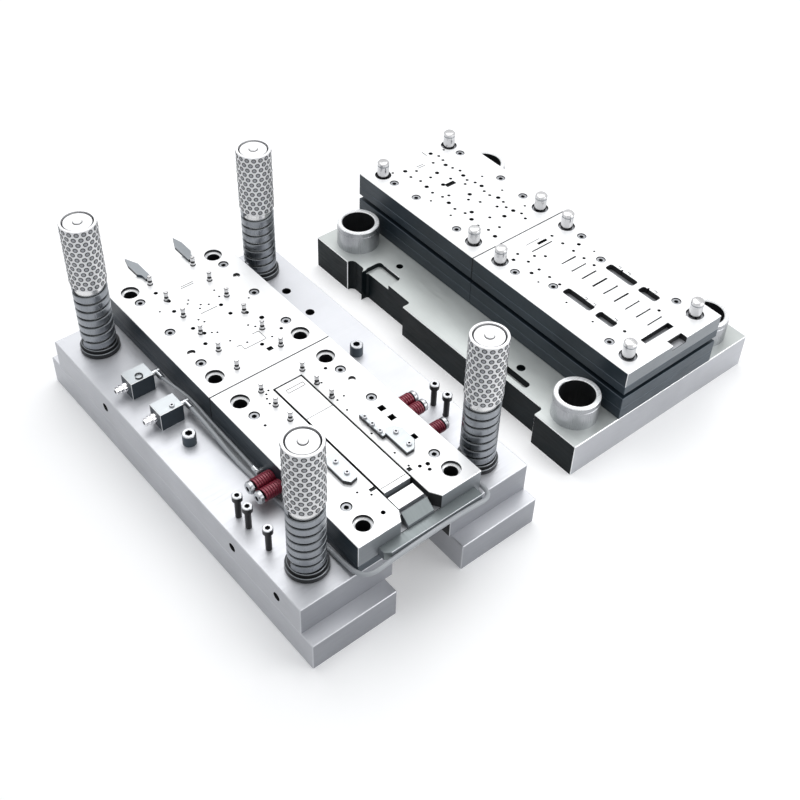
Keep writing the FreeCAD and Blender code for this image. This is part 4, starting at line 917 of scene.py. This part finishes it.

# %% [markdown]
# ## Side cams, air and hoses
#
# The cams' springs are wound from flat red wire at one length; the real ones shorten when the cams press
# in. The hose and the tube are curves on the same points as in the CAD, so they lie along the same route.

# %% Side cams
CAM_LEVEL = SHOE_TOP + 21
DIE_SIDE = 93.5
CAM_SPRING = 30
CAM_WIRE = [(0, 0.4, 0), (0, 2.5, 0), (0.5, 2.9, 0), (1.9, 2.9, 0), (2.4, 2.4, 0), (2.4, 0.5, 0),
            (1.9, 0, 0), (0.5, 0, 0)]
for name, side, places in (("left", -1, (148, 167)), ("right", 1, (104, 145, 164))):
    feet = [in_lower(side * DIE_SIDE, y, CAM_LEVEL) for y in places]
    spring = coil(f"cam springs {name}", feet, 6.6, CAM_WIRE, CAM_SPRING, 8, [FINISHES["red_spring"]],
                  along=(side, 0, 0), segments=36)
    finished(spring, "lower_half", "cam_springs_" + name)
    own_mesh(spring)
    # The shaft inside each coil and the socket in the rod's end are painted shade.
    rods = turned(f"cam rods {name}", feet, [
        (0, -20, 2), (4, -20, 2), (4, CAM_SPRING, 0), (8.5, CAM_SPRING, 0), (8.5, 34.2, 1), (7.0, 36, 1),
        (3.4, 36, 2), (3.2, 33, 2), (0, 33, 2)],
        [FINISHES["cam_steel"], FINISHES["fitting_plastic"], SHADE_AND_BLACK], along=(side, 0, 0), segments=36)
    finished(rods, "cams_" + name, "cam_rods_" + name)
print("side cams")

# %% Manifold blocks and quick plugs
BAR = FINISHES["bar_steel"]
BLOCK = FINISHES["manifold_metal"]
PLATE = FINISHES["die_steel"]
# The near-black material is the real black of the stock guides' and lead-in guides' sides, and painted shade
# in the stock guides' hollows and on the exit insert's chamfer, where it meets the die.
LOOKS = {  # top, side, end, inner, edge
    "manifold_blocks": (BLOCK, SLATE, SLATE, SLATE, BRIGHT),
    "stock_guides": (BLOCK, SHADE_AND_BLACK, SHADE_AND_BLACK, SHADE_AND_BLACK, END_GREY),
    "air_bar": (BAR, END_GREY, END_GREY, BAR, BLOCK),
    "exit_insert": (PLATE, END_GREY, END_GREY, PLATE, SHADE_AND_BLACK),
    "exit_chute": (BAR, END_GREY, END_GREY, BAR, END_GREY),
    "lead_in_guides": (END_GREY, SHADE_AND_BLACK, SHADE_AND_BLACK, SLATE, GREY_FLOOR),
}
BLOCK_TOP = SHOE_TOP + 28
FIN_SHARE = 0.52
for node, (top, side, end, inner, edge) in LOOKS.items():
    piece = flat_copy(node, 0.6)
    dress(piece, top, side, end, inner=inner, floor=top, edge=edge)
    if node == "lead_in_guides":
        for corner in piece.data.vertices:
            if corner.co.z > DIE_TOP * MM:
                corner.co.z = (DIE_TOP + (corner.co.z / MM - DIE_TOP) * FIN_SHARE) * MM
    finished(piece, "lower_half", node)
STRAP = [(0, 0, 0), (0, 1.3, 0), (1.3, 1.3, 0), (1.3, 0, 0)]
strap = coil("cap strap", [in_lower(-134, 405, BLOCK_TOP)], 4.2, STRAP, 2.4, 0.9, [SHADE_AND_BLACK], segments=28)
finished(strap, "lower_half", slot="screw_steel")
plug_level = SHOE_TOP + 0.55 * 28
# The bore in each plug's end is painted shade.
plugs = turned("quick plugs", [in_lower(-150, y, plug_level) for y in (411, 341)], [
    (0, 0, 0), (7, 0, 0), (7, 5.4, 0), (6.4, 6, 0), (4.6, 6, 0), (4.6, 8, 0), (6, 8.6, 0), (6, 11, 0),
    (4.4, 12, 0), (4.4, 13.2, 0), (5.2, 13.8, 0), (5.2, 16.4, 0), (4.6, 17, 0), (2.6, 17, 1),
    (2.6, 12, 1), (0, 12, 1)],
    [FINISHES["plug_chrome"], SHADE_AND_BLACK], along=(-1, 0, 0), segments=36)
finished(plugs, "lower_half", "quick_plugs")
SMALL_HEAD = [(0, 1.2, 1), (-1.5, 1.2, 1), (-1.5, 2.6, 0), (3.0, 2.6, 0), (3.4, 2.2, 0), (3.4, -0.2, 0),
              (0, -0.2, 0)]
CLAMP_SCREWS = [(-38, 92), (-38, 114), (49, 82), (49, 107), (34.5, 120), (34.5, 135), (34.5, 150)]
clamp_top = top_of("stock_guides")
places = [in_lower(x, y, clamp_top) for x, y in CLAMP_SCREWS] + [in_lower(-129, 334, BLOCK_TOP)]
# The sockets of the small screws are painted shade.
small = turned("small screws", places, SMALL_HEAD, [FINISHES["cam_steel"], SHADE_AND_BLACK], segments=24)
finished(small, "lower_half", slot="screw_steel")
print("manifolds, plugs and small screws")

# %% Hoses
def nurbs(name, points, diameter, finish):
    """A round hose as a smooth curve on chosen points."""
    data = bpy.data.curves.new(name, "CURVE")
    data.dimensions = "3D"
    data.bevel_depth = diameter / 2 * MM
    data.bevel_resolution = 5
    data.use_fill_caps = True
    data.resolution_u = 12
    line = data.splines.new("NURBS")
    line.points.add(len(points) - 1)
    for point, place in zip(line.points, points):
        point.co = (*in_lower(*place), 1.0)
    line.order_u = 3
    line.use_endpoint_u = True
    data.materials.append(finish)
    hose = bpy.data.objects.new(name, data)
    bpy.context.scene.collection.objects.link(hose)
    return hose


BESIDE = DIE_SIDE + 5.9
BEFORE = -18.5
LOW = SHOE_TOP + 3.5
BAR_LEVEL = SHOE_TOP + 18.5
PORT = SHOE_TOP + 15.4
HOSE = [
    (-BESIDE - 6.6, 326.6, PORT),
    (-BESIDE - 6.6, 285, LOW + 10),
    (-BESIDE - 7.6, 235, LOW + 1),
    (-BESIDE - 5.6, 170, LOW),
    (-BESIDE - 2, 100, LOW),
    (-BESIDE, 32, LOW + 1),
    (-BESIDE, BEFORE, LOW + 9),
    (-BESIDE + 45, BEFORE, BAR_LEVEL - 1),
    (16, BEFORE, BAR_LEVEL + 2),
    (BESIDE - 40, BEFORE, BAR_LEVEL + 1),
    (BESIDE + 0.5, BEFORE, LOW + 11),
    (BESIDE + 0.3, 26, LOW + 6),
    (BESIDE + 0.6, 76.6, SHOE_TOP + 7),
]
TUBE = [
    (-BESIDE - 6.6, 396.6, PORT),
    (-BESIDE - 3.5, 372, SHOE_TOP + 17),
    (-BESIDE + 1.9, 340, SHOE_TOP + 16),
    (-BESIDE + 0.9, 290, SHOE_TOP + 12),
    (-BESIDE + 1.4, 245, SHOE_TOP + 10),
    (-BESIDE - 0.6, 198.4, SHOE_TOP + 12),
]
hose = nurbs("air_hose_curve", HOSE, 6, FINISHES["hose_plastic"])
tube = nurbs("air_tube_curve", TUBE, 4, FINISHES["hose_plastic"])
for piece, node in ((hose, "air_hose"), (tube, "air_tube")):
    finished(piece, "lower_half", node)
print("hoses")

# %% End
print("all pieces made")
